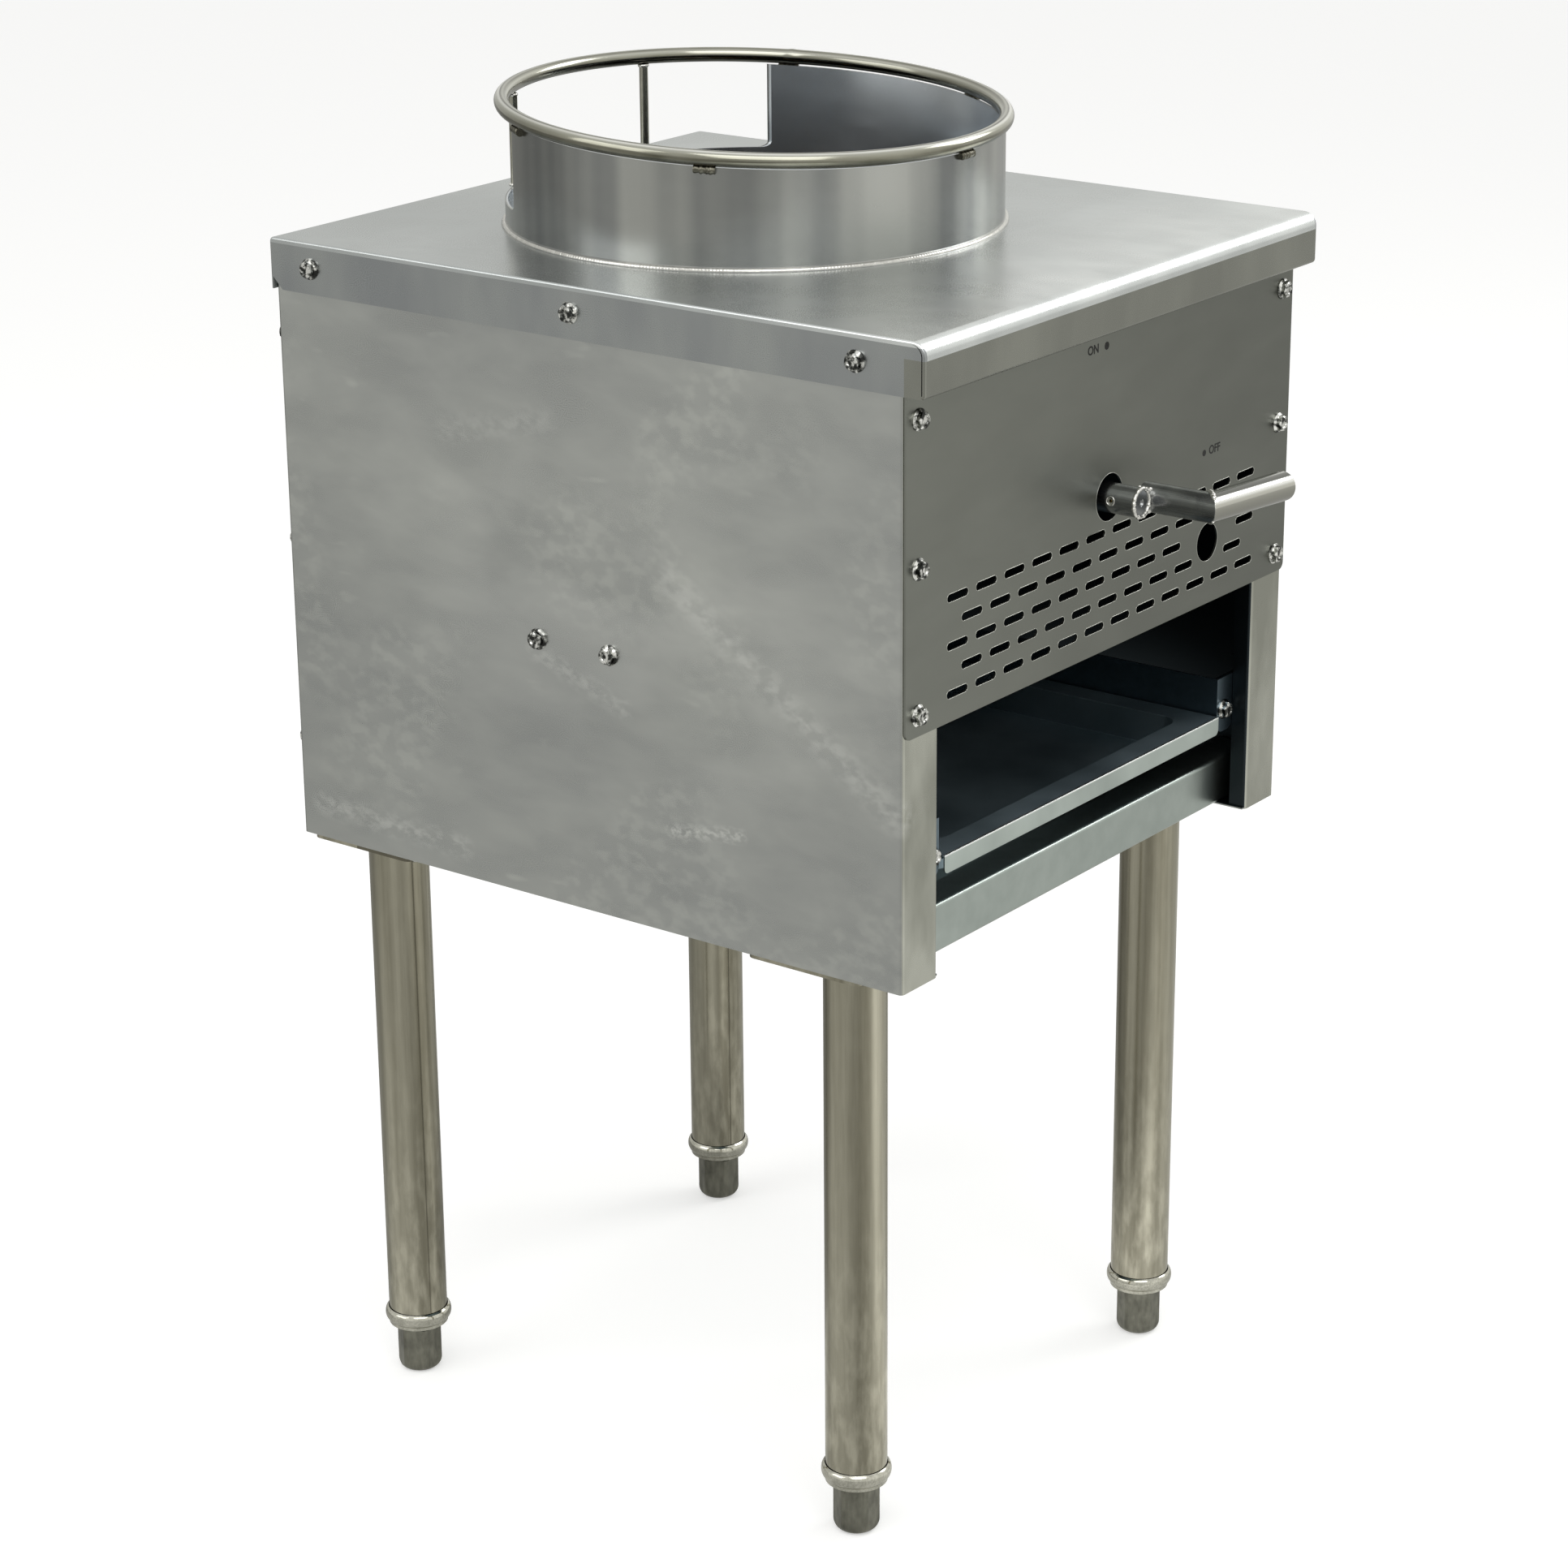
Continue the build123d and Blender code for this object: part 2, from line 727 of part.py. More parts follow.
with BuildPart() as jet:
    with BuildSketch(Plane.XZ):
        with BuildLine():
            Polyline(
                (0, 0),
                (jet_base / 2, 0),
                (jet_base / 2, jet_base / 2),
                (jet_tip / 2, jet_base),
                (jet_tip / 2, jet_length),
                (jet_hole / 2, jet_length),
                (jet_hole / 2, jet_length - jet_base),
                (0, jet_length - jet_base),
                close=True,
            )
        make_face()
    revolve(axis=Axis.Z)

jet_places = [Location((0, ring_y, burner_top))]
for circle in jet_circles:
    for arm in range(arm_count):
        around = radians(arm_angle + arm * 360 / arm_count)
        jet_places.append(Location((circle * cos(around), ring_y + circle * sin(around), burner_top)))
burner_jets = placed(jet.part, jet_places)
write(burner_jets, "burner_jets")

# Burner cradle: a folded strap that stands on the crossbar and holds two arms of the burner
cradle_foot = bar_z + cradle_sheet / 2
cradle_head = burner_under - gap - cradle_sheet / 2
cradle_out = cradle_span / 2 + boss_length

with BuildPart() as burner_cradle:
    with BuildSketch(Plane.YZ.offset(-cradle_width / 2)):
        with BuildLine():
            FilletPolyline(
                (ring_y - cradle_out, cradle_head),
                (ring_y - cradle_span / 2, cradle_head),
                (ring_y - cradle_span / 2, cradle_foot),
                (ring_y + cradle_span / 2, cradle_foot),
                (ring_y + cradle_span / 2, cradle_head),
                (ring_y + cradle_out, cradle_head),
                radius=cradle_sheet,
            )
        trace(line_width=cradle_sheet)
    extrude(amount=cradle_width)
write(burner_cradle, "burner_cradle")

# Crossbar: an upturned channel between the side panels, with bolted ends
bar_half = side_inner - gap

with BuildPart() as burner_crossbar:
    with BuildSketch(Plane.YZ.offset(-bar_half)):
        with BuildLine():
            FilletPolyline(
                (bar_y - bar_width / 2, bar_z - bar_fold),
                (bar_y - bar_width / 2, bar_z - side_sheet / 2),
                (bar_y + bar_width / 2, bar_z - side_sheet / 2),
                (bar_y + bar_width / 2, bar_z - bar_fold),
                radius=bend,
            )
        trace(line_width=side_sheet)
    extrude(amount=2 * bar_half)
    with BuildSketch(Plane.YZ.offset(-bar_half)):
        with Locations((bar_y, bar_z - bar_fold / 2)):
            Rectangle(bar_width - side_sheet, bar_fold)
        with Locations(*[(y, side_bolt_z) for y in side_bolt_ys]):
            Circle(bolt_shank / 2 + hole_clear, mode=Mode.SUBTRACT)
    extrude(amount=side_sheet)
    mirror(about=Plane.YZ)
write(burner_crossbar, "burner_crossbar")

# Drip tray: a drawn pan with a flat rim and a front lip to pull it by
tray_middle = tray_y + tray_length / 2

with BuildPart() as drip_tray:
    with BuildSketch(Plane.XY.offset(tray_z)):
        with Locations((0, tray_middle)):
            Rectangle(tray_width, tray_length)
    extrude(amount=-tray_sheet)
    with BuildSketch(Plane.XY.offset(tray_z)):
        with Locations((0, tray_middle)):
            RectangleRounded(tray_width - 2 * tray_rim, tray_length - 2 * tray_rim, tray_corner)
    extrude(amount=-tray_depth, taper=tray_draft)
    with BuildSketch(Plane.XY.offset(tray_z)):
        with Locations((0, tray_middle)):
            RectangleRounded(
                tray_width - 2 * tray_rim - 2 * tray_sheet,
                tray_length - 2 * tray_rim - 2 * tray_sheet,
                tray_corner - tray_sheet,
            )
    extrude(amount=-tray_depth + tray_sheet, taper=tray_draft, mode=Mode.SUBTRACT)
    with BuildSketch(Plane.XZ.offset(-tray_y)) as front_lip:
        with Locations((0, tray_z - tray_lip / 2)):
            Rectangle(tray_width, tray_lip)
        fillet(front_lip.vertices().group_by(Axis.Y)[0], lip_corner)
    extrude(amount=-tray_sheet)
write(drip_tray, "drip_tray")

# Tray rails: an angle with a bolted tab at each end
with BuildPart() as left_tray_rail:
    with BuildSketch(Plane.XZ.offset(-rail_front)):
        with BuildLine():
            FilletPolyline(
                (-rail_web + rail_ledge, ledge_z - rail_sheet / 2),
                (-rail_web - rail_sheet / 2, ledge_z - rail_sheet / 2),
                (-rail_web - rail_sheet / 2, ledge_z + rail_height),
                radius=bend,
            )
        trace(line_width=rail_sheet)
    extrude(amount=rail_front - rail_back)
    for tab_y in (rail_front, rail_back - rail_sheet):
        with BuildSketch(Plane.XZ.offset(-tab_y)) as tab:
            with Locations((-rail_web - rail_tab_width / 2, ledge_z + (rail_height - rail_tab_drop) / 2)):
                Rectangle(rail_tab_width, rail_height + rail_tab_drop)
            fillet(tab.vertices().group_by(Axis.Y)[0], rail_tab_corner)
            fillet(tab.vertices().group_by(Axis.Y)[-1], bend)
            with Locations((-rail_bolt_x, rail_bolt_z)):
                Circle(bolt_shank / 2 + hole_clear, mode=Mode.SUBTRACT)
        extrude(amount=-rail_sheet)
write(left_tray_rail, "left_tray_rail")

with BuildPart() as right_tray_rail:
    mirror(left_tray_rail.part, about=Plane.YZ)
write(right_tray_rail, "right_tray_rail")

bracket_x = rail_web + rail_sheet + gap + rail_sheet / 2
bracket_foot = shelf_bottom + rail_sheet / 2

with BuildPart() as left_rail_bracket:
    with BuildSketch(Plane.XZ.offset(-bracket_y + bracket_width / 2)):
        with BuildLine():
            FilletPolyline(
                (-side_inner + gap, bracket_foot),
                (-bracket_x, bracket_foot),
                (-bracket_x, ledge_z + rail_height),
                radius=bend,
            )
        trace(line_width=rail_sheet)
    extrude(amount=-bracket_width)
    with BuildSketch(Plane.XY.offset(body_bottom)):
        with Locations((-bracket_bolt_x, bracket_y)):
            Circle(leg_shank / 2 + hole_clear)
    extrude(amount=2 * side_sheet + 2 * gap, mode=Mode.SUBTRACT)
write(left_rail_bracket, "left_rail_bracket")

with BuildPart() as right_rail_bracket:
    mirror(left_rail_bracket.part, about=Plane.YZ)
write(right_rail_bracket, "right_rail_bracket")

# Gas pipe work: straight pipes that screw into banded elbows
elbow_reach = elbow_radius + pipe_entry
pipe_stop = elbow_reach - pipe_entry + gap


def pipe(start, end):
    """A straight pipe between two points."""
    run = Vector(*end) - Vector(*start)
    with BuildPart() as tube:
        with BuildSketch(Plane(origin=start, z_dir=run)):
            Circle(pipe_outside / 2)
            Circle(pipe_inside / 2, mode=Mode.SUBTRACT)
        extrude(amount=run.length)
    return tube.part


def elbow(corner, first, second):
    """A banded elbow at a corner, open along the two directions."""
    first = Vector(*first)
    second = Vector(*second)
    corner = Vector(*corner)
    with BuildPart() as fitting:
        with BuildLine() as path:
            FilletPolyline(
                corner + first * elbow_reach,
                corner,
                corner + second * elbow_reach,
                radius=elbow_radius,
            )
        with BuildSketch(Plane(origin=corner + first * elbow_reach, z_dir=-first)):
            Circle(elbow_outside / 2)
        sweep(path=path.line)
        for way in (first, second):
            with BuildSketch(Plane(origin=corner + way * (elbow_reach - band_width), z_dir=way)):
                Circle(elbow_band / 2)
            extrude(amount=band_width)
        with BuildSketch(Plane(origin=corner + first * elbow_reach, z_dir=-first)):
            Circle(pipe_inside / 2)
        sweep(path=path.line, mode=Mode.SUBTRACT)
        for way in (first, second):
            with BuildSketch(Plane(origin=corner + way * elbow_reach, z_dir=-way)):
                Circle(pipe_outside / 2 + thread_fit)
            extrude(amount=pipe_entry, mode=Mode.SUBTRACT)
    return fitting.part


valve_half = valve_length / 2
valve_socket = valve_half - pipe_entry + gap
boss_seat = boss_under + pipe_entry - gap

with BuildPart() as gas_inlet_pipe:
    add(pipe((-inlet_x, back_y + inlet_out, lever_z), (-inlet_x, valve_y + pipe_stop, lever_z)))
    with BuildSketch(Plane(origin=(-inlet_x, back_y + inlet_out, lever_z), z_dir=(0, -1, 0))):
        Circle(pipe_outside / 2)
        Circle(pipe_outside / 2 - thread_turned, mode=Mode.SUBTRACT)
    extrude(amount=inlet_thread, mode=Mode.SUBTRACT)
write(gas_inlet_pipe, "gas_inlet_pipe")

with BuildPart() as valve_feed_pipe:
    add(pipe((-inlet_x + pipe_stop, valve_y, lever_z), (-valve_socket, valve_y, lever_z)))
write(valve_feed_pipe, "valve_feed_pipe")

with BuildPart() as burner_feed_pipe:
    add(pipe((outlet_x, valve_y + pipe_stop, lever_z), (outlet_x, ring_y - pipe_stop, lever_z)))
write(burner_feed_pipe, "burner_feed_pipe")

with BuildPart() as burner_nipples:
    add(pipe((valve_socket, valve_y, lever_z), (outlet_x - pipe_stop, valve_y, lever_z)))
    add(pipe((outlet_x - pipe_stop, ring_y, lever_z), (pipe_stop, ring_y, lever_z)))
    add(pipe((0, ring_y, lever_z + pipe_stop), (0, ring_y, boss_seat)))
write(burner_nipples, "burner_nipples")

with BuildPart() as pipe_elbows:
    add(elbow((-inlet_x, valve_y, lever_z), (0, 1, 0), (1, 0, 0)))
    add(elbow((outlet_x, valve_y, lever_z), (-1, 0, 0), (0, 1, 0)))
    add(elbow((outlet_x, ring_y, lever_z), (0, -1, 0), (-1, 0, 0)))
    add(elbow((0, ring_y, lever_z), (1, 0, 0), (0, 0, 1)))
write(pipe_elbows, "pipe_elbows")

# Main valve: a quarter-turn plug with its stem, in a body with a screwed bonnet
valve_face = Plane(origin=(0, valve_y - valve_front, lever_z), x_dir=(1, 0, 0), z_dir=(0, -1, 0))
plug_depth = valve_front + plug_diameter / 2 + running_fit
stem_out = valve_y - valve_front - front_y + hub_out - set_screw_in / 2

with BuildPart() as valve_body:
    with BuildSketch(Plane.YZ.offset(-valve_half)):
        with Locations((valve_y, lever_z)):
            RegularPolygon(radius=valve_end / 2, side_count=6, major_radius=False)
    extrude(amount=pipe_entry + gap)
    mirror(about=Plane.YZ)
    with BuildSketch(Plane.YZ.offset(-valve_half + pipe_entry)):
        with Locations((valve_y, lever_z)):
            Circle(pipe_outside / 2)
    extrude(amount=valve_length - 2 * pipe_entry)
    with BuildSketch(valve_face):
        Circle(valve_barrel / 2)
    extrude(amount=-valve_front - valve_back)
    with BuildSketch(Plane.YZ.offset(-valve_half)):
        with Locations((valve_y, lever_z)):
            Circle(plug_port / 2)
    extrude(amount=valve_length, mode=Mode.SUBTRACT)
    with BuildSketch(Plane.YZ.offset(-valve_half)):
        with Locations((valve_y, lever_z)):
            Circle(pipe_outside / 2 + thread_fit)
    extrude(amount=pipe_entry, mode=Mode.SUBTRACT)
    with BuildSketch(Plane.YZ.offset(valve_half)):
        with Locations((valve_y, lever_z)):
            Circle(pipe_outside / 2 + thread_fit)
    extrude(amount=-pipe_entry, mode=Mode.SUBTRACT)
    with BuildSketch(valve_face):
        Circle(plug_diameter / 2 + running_fit)
    extrude(amount=-plug_depth, mode=Mode.SUBTRACT)
write(valve_body, "valve_body")

with BuildPart() as valve_bonnet:
    with BuildSketch(valve_face.offset(gap)):
        RegularPolygon(radius=bonnet_diameter / 2, side_count=6, major_radius=False)
        Circle(stem_diameter / 2 + running_fit, mode=Mode.SUBTRACT)
    extrude(amount=bonnet_length)
write(valve_bonnet, "valve_bonnet")

with BuildPart() as valve_plug:
    with BuildSketch(valve_face.offset(-gap)):
        Circle(plug_diameter / 2)
    extrude(amount=-plug_depth + 2 * gap)
    with BuildSketch(valve_face.offset(-gap)):
        Circle(stem_diameter / 2)
    extrude(amount=stem_out + gap)
    # Shut at rest: the port stands across the flow
    with BuildSketch(Plane.XY.offset(lever_z - plug_diameter)):
        with Locations((0, valve_y)):
            Circle(plug_port / 2 - gap)
    extrude(amount=2 * plug_diameter, mode=Mode.SUBTRACT)
write(valve_plug, "valve_plug")

# Lever: a hub on the stem, an arm welded beside it and a grip mitred to the arm
hub_end = lever_plane.offset(hub_out)
tube_r = lever_tube / 2
arm_x = lever_tube + gap
elbow_point = lever_plane.from_local_coords(Vector(arm_x, 0, elbow_out))
mitre = Plane(origin=elbow_point, z_dir=lever_plane.x_dir + lever_plane.z_dir)
screw_plane = Plane(
    origin=lever_plane.from_local_coords(Vector(0, 0, hub_out - set_screw_in)),
    z_dir=-lever_plane.x_dir,
)

with BuildPart() as lever_hub:
    with BuildSketch(hub_end):
        Circle(tube_r)
    extrude(amount=-hub_length)
    with BuildSketch(hub_end):
        Circle(hub_dimple / 2)
    extrude(amount=-dimple_depth, taper=dimple_angle, mode=Mode.SUBTRACT)
    with BuildSketch(hub_end.offset(-hub_length)):
        Circle(stem_diameter / 2 + running_fit)
    extrude(amount=hub_length - set_screw_in / 2 + gap, mode=Mode.SUBTRACT)
    with BuildSketch(screw_plane):
        Circle(set_screw / 2 + running_fit)
    extrude(amount=lever_tube, mode=Mode.SUBTRACT)
write(lever_hub, "lever_hub")

with BuildPart() as lever_set_screw:
    with BuildSketch(screw_plane.offset(stem_diameter / 2 + gap)):
        Circle(set_screw / 2)
        RegularPolygon(radius=set_screw / 4, side_count=6, mode=Mode.SUBTRACT)
    extrude(amount=(lever_tube - stem_diameter) / 2 - 3 * gap)
write(lever_set_screw, "lever_set_screw")

with BuildPart() as lever_arm:
    with BuildSketch(hub_end.offset(-lever_lap)):
        with Locations((arm_x, 0)):
            Circle(tube_r)
    extrude(amount=elbow_out - hub_out + lever_lap + lever_tube)
    with BuildSketch(hub_end.offset(-lever_lap + lever_wall)):
        with Locations((arm_x, 0)):
            Circle(tube_r - lever_wall)
    extrude(amount=elbow_out, mode=Mode.SUBTRACT)
    split(bisect_by=mitre, keep=Keep.BOTTOM)
write(lever_arm, "lever_arm")

grip_end = Plane(
    origin=lever_plane.from_local_coords(Vector(arm_x + grip_length, 0, elbow_out)),
    z_dir=-lever_plane.x_dir,
)
with BuildPart() as lever_grip:
    with BuildSketch(grip_end):
        Circle(tube_r)
    extrude(amount=grip_length + lever_tube)
    with BuildSketch(grip_end.offset(lever_wall)):
        Circle(tube_r - lever_wall)
    extrude(amount=grip_length + lever_tube, mode=Mode.SUBTRACT)
    split(bisect_by=mitre, keep=Keep.TOP)
    chamfer(lever_grip.edges().filter_by(GeomType.CIRCLE).sort_by(Axis.X)[-1], bend / 2)
write(lever_grip, "lever_grip")

# Weld metal in the two valleys between the hub and the arm
with BuildPart() as lever_weld:
    with BuildSketch(hub_end):
        with Locations((arm_x / 2, 0)):
            Rectangle(weld_width, weld_height)
            Rectangle(weld_width, weld_root, mode=Mode.SUBTRACT)
        Circle(tube_r + running_fit, mode=Mode.SUBTRACT)
        with Locations((arm_x, 0)):
            Circle(tube_r + running_fit, mode=Mode.SUBTRACT)
    extrude(amount=-lever_lap)
write(lever_weld, "lever_weld")

# Pilot: a small cock on the feed pipe, and a bent tube to its burner inside the chamber
pipe_crown = lever_z + pipe_outside / 2
pilot_floor = pipe_crown + pilot_boss / 2
pilot_z = pilot_floor + pilot_height / 2
pilot_axis = Plane(origin=(-pilot_x, valve_y, pilot_z), x_dir=(1, 0, 0), z_dir=(0, -1, 0))

with BuildPart() as pilot_valve:
    with BuildSketch(Plane.XY.offset(lever_z)):
        with Locations((-pilot_x, valve_y)):
            Circle(pilot_boss / 2)
    extrude(amount=pilot_floor - lever_z)
    with BuildSketch(Plane.YZ.offset(-pilot_x - pilot_boss)):
        with Locations((valve_y, lever_z)):
            Circle(pipe_outside / 2 + gap)
    extrude(amount=2 * pilot_boss, mode=Mode.SUBTRACT)
    with BuildSketch(Plane.XY.offset(pilot_floor)):
        with Locations((-pilot_x, valve_y)):
            Rectangle(pilot_block, pilot_block)
    extrude(amount=pilot_height)
    with BuildSketch(pilot_axis):
        Circle(cock_diameter / 2 + running_fit)
    extrude(amount=pilot_block, mode=Mode.SUBTRACT)
    with BuildSketch(Plane.YZ.offset(-pilot_x + pilot_block / 2)):
        with Locations((valve_y, pilot_z)):
            Circle(pilot_pipe / 2 + gap)
    extrude(amount=-pilot_entry, mode=Mode.SUBTRACT)
write(pilot_valve, "pilot_valve")

with BuildPart() as pilot_cock:
    with BuildSketch(pilot_axis.offset(gap)):
        Circle(cock_diameter / 2)
    extrude(amount=cock_length)
    with BuildSketch(pilot_axis.offset(gap + cock_length)):
        Rectangle(cock_diameter, cock_slot)
    extrude(amount=-cock_slot, mode=Mode.SUBTRACT)
write(pilot_cock, "pilot_cock")

pilot_burner_x = pilot_radius * cos(radians(pilot_angle))
pilot_burner_y = ring_y + pilot_radius * sin(radians(pilot_angle))
pilot_start = (-pilot_x + pilot_block / 2 - pilot_entry + gap, valve_y, pilot_z)
pilot_seat = pilot_z + 2 * pilot_bend

with BuildPart() as pilot_tube:
    with BuildLine() as route:
        FilletPolyline(
            pilot_start,
            (pilot_burner_x, valve_y, pilot_z),
            (pilot_burner_x, pilot_burner_y, pilot_z),
            (pilot_burner_x, pilot_burner_y, pilot_seat),
            radius=pilot_bend,
        )
    with BuildSketch(Plane(origin=pilot_start, z_dir=(1, 0, 0))):
        Circle(pilot_pipe / 2)
    sweep(path=route.line)
write(pilot_tube, "pilot_tube")

with BuildPart() as pilot_burner:
    with BuildSketch(Plane.XY.offset(pilot_seat - pilot_pipe)):
        with Locations((pilot_burner_x, pilot_burner_y)):
            Circle(pilot_pipe)
            Circle(pilot_pipe / 2 + gap, mode=Mode.SUBTRACT)
    extrude(amount=pilot_pipe + gap)
    with BuildSketch(Plane.XY.offset(pilot_seat + gap)):
        with Locations((pilot_burner_x, pilot_burner_y)):
            Circle(pilot_pipe)
            with PolarLocations(pilot_pipe - pilot_port, pilot_ports):
                Circle(pilot_port / 2, mode=Mode.SUBTRACT)
    extrude(amount=pilot_head)
write(pilot_burner, "pilot_burner")

# Fasteners, with their nuts
body_bolt_length = deck_sheet + side_sheet + 2 * gap + nut_height + bolt_end
leg_bolt_length = plate_sheet + 2 * side_sheet + 3 * gap + nut_height + bolt_end
body_bolt = flange_bolt(bolt_shank, bolt_flange, bolt_flats, body_bolt_length)
leg_bolt = flange_bolt(leg_shank, leg_flange, leg_flats, leg_bolt_length)
body_nut = nut(bolt_shank, bolt_flats)
leg_nut = nut(leg_shank, leg_flats)

valve_panel_screws = placed(body_bolt, [out_from(x, panel_y, z, (0, -1, 0)) for x, z in panel_screws])
write(valve_panel_screws, "valve_panel_screws")
back_panel_screws = placed(body_bolt, [out_from(x, back_y, z, (0, 1, 0)) for x, z in back_screws])
write(back_panel_screws, "back_panel_screws")
deck_bolts = placed(
    body_bolt,
    [out_from(side * deck_half, y, deck_bolt_z, (side, 0, 0)) for side in (-1, 1) for y in deck_bolt_ys],
)
write(deck_bolts, "deck_bolts")
side_bolts = placed(
    body_bolt,
    [out_from(side * side_half, y, side_bolt_z, (side, 0, 0)) for side in (-1, 1) for y in side_bolt_ys],
)
write(side_bolts, "side_bolts")
rail_bolts = placed(
    body_bolt,
    [out_from(side * rail_bolt_x, rail_front, rail_bolt_z, (0, -1, 0)) for side in (-1, 1)]
    + [out_from(side * rail_bolt_x, back_panel_y, rail_bolt_z, (0, 1, 0)) for side in (-1, 1)],
)
write(rail_bolts, "rail_bolts")

leg_bolt_places = [out_from(x, y, leg_top, (0, 0, -1)) for x, y in plate_bolts]
leg_bolt_places += [out_from(side * bracket_bolt_x, bracket_y, body_bottom, (0, 0, -1)) for side in (-1, 1)]
leg_plate_bolts = placed(leg_bolt, leg_bolt_places)
write(leg_plate_bolts, "leg_plate_bolts")

nut_lift = gap
body_nut_places = [out_from(x, front_y + side_sheet + nut_lift, z, (0, 1, 0)) for x, z in panel_screws]
body_nut_places += [out_from(x, back_panel_y - side_sheet - nut_lift, z, (0, -1, 0)) for x, z in back_screws]
for side in (-1, 1):
    deck_nut_x = side * (side_inner - nut_lift)
    side_nut_x = side * (bar_half - side_sheet - nut_lift)
    front_nut_y = hanger_y + side_sheet / 2 + nut_lift
    back_nut_y = rail_back - rail_sheet - nut_lift
    body_nut_places += [out_from(deck_nut_x, y, deck_bolt_z, (-side, 0, 0)) for y in deck_bolt_ys]
    body_nut_places += [out_from(side_nut_x, y, side_bolt_z, (-side, 0, 0)) for y in side_bolt_ys]
    body_nut_places.append(out_from(side * rail_bolt_x, front_nut_y, rail_bolt_z, (0, 1, 0)))
    body_nut_places.append(out_from(side * rail_bolt_x, back_nut_y, rail_bolt_z, (0, -1, 0)))
body_nuts = placed(body_nut, body_nut_places)
write(body_nuts, "body_nuts")

leg_nut_z = shelf_bottom + side_sheet + nut_lift
leg_nut_places = [out_from(x, y, leg_nut_z, (0, 0, 1)) for x, y in plate_bolts]
leg_nut_places += [out_from(side * bracket_bolt_x, bracket_y, leg_nut_z, (0, 0, 1)) for side in (-1, 1)]
leg_plate_nuts = placed(leg_nut, leg_nut_places)
write(leg_plate_nuts, "leg_plate_nuts")
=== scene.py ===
# %% [markdown]
# # A wok range, dressed over its measured frame
# The range is a folded steel box on four tube legs. A round collar and a tilted rim carry the wok,
# a lever turns the gas valve and a drip tray slides out below. The measured CAD model is the frame.

import json
import math
from functools import partialmethod

import bmesh
import bpy
from mathutils import Matrix, Vector

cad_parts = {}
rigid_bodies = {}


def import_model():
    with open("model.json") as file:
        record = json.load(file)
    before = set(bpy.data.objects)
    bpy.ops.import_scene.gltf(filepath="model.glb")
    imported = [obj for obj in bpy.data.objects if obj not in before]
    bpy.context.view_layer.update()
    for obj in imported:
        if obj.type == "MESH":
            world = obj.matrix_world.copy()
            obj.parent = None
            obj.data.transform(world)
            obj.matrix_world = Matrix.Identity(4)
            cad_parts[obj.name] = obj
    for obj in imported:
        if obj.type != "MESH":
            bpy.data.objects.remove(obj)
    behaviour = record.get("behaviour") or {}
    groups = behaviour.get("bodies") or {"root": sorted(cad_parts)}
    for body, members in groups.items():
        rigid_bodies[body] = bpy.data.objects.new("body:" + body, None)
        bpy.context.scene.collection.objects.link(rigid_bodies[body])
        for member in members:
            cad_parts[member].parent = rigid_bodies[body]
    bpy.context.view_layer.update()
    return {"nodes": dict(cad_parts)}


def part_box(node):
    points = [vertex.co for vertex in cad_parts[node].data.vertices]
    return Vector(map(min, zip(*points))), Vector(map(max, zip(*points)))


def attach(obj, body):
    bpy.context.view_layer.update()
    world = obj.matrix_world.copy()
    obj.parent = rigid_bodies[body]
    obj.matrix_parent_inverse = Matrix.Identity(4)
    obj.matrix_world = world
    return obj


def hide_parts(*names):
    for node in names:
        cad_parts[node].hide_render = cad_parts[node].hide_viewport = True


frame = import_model()
nodes = frame["nodes"]

# %% [markdown]
# ## Sizes that the cells share
# They repeat the driving sizes of the CAD source, in millimetres, so that welds and marks land on
# the parts that carry them.

# %% Shared sizes
mm = 0.001
front_y = -235.725
back_y = 264.275
panel_y = -237.525
deck_z = 828.0
body_bottom = 416.0
side_half = 224.0
ring_y = 41.775
rim_z = 903.0
rim_tilt = math.radians(2.9)
rim_radius = 165.0
rim_bar = 10.0
collar_radius = 164.5
lever_z = 682.3
lever_droop = math.radians(4.0)
lever_radius = 9.75
lever_lap = 9.5
hub_out = 25.6
arm_aside = 19.8
elbow_out = 63.8
leg_radius = 20.65
leg_top = 412.7
leg_places = {"front_left": (-176.0, -165.725), "front_right": (176.0, -165.725),
              "back_left": (-176.0, 222.275), "back_right": (176.0, 222.275)}
print("body", 2 * side_half, "x", back_y - front_y, "deck at", deck_z)

# %% [markdown]
# ## The camera
# The photograph was taken from the left front corner, a little above the deck, with a long lens.
# The camera was solved from the corners of the body, the four feet and the ring.


# %% Camera
def with_settings(thing, **settings):
    """A node, a lamp, a modifier or the like, with its settings filled in."""
    for name, value in settings.items():
        setattr(thing, name, value)
    return thing


def in_scene(name, data):
    """A new object with its data, linked into the scene."""
    thing = bpy.data.objects.new(name, data)
    bpy.context.collection.objects.link(thing)
    return thing


camera_place = Vector((-2077.5, -1542.3, 1368.5)) * mm
camera_yaw = math.radians(53.018)
camera_pitch = math.radians(-19.741)
camera_roll = math.radians(-0.484)
lens_length = 91.9
sensor_width = 36.0

forward = Vector((math.sin(camera_yaw) * math.cos(camera_pitch),
                  math.cos(camera_yaw) * math.cos(camera_pitch),
                  math.sin(camera_pitch)))
level = Vector((math.cos(camera_yaw), -math.sin(camera_yaw), 0))
above = level.cross(forward)
right = level * math.cos(camera_roll) + above * math.sin(camera_roll)
up = -level * math.sin(camera_roll) + above * math.cos(camera_roll)

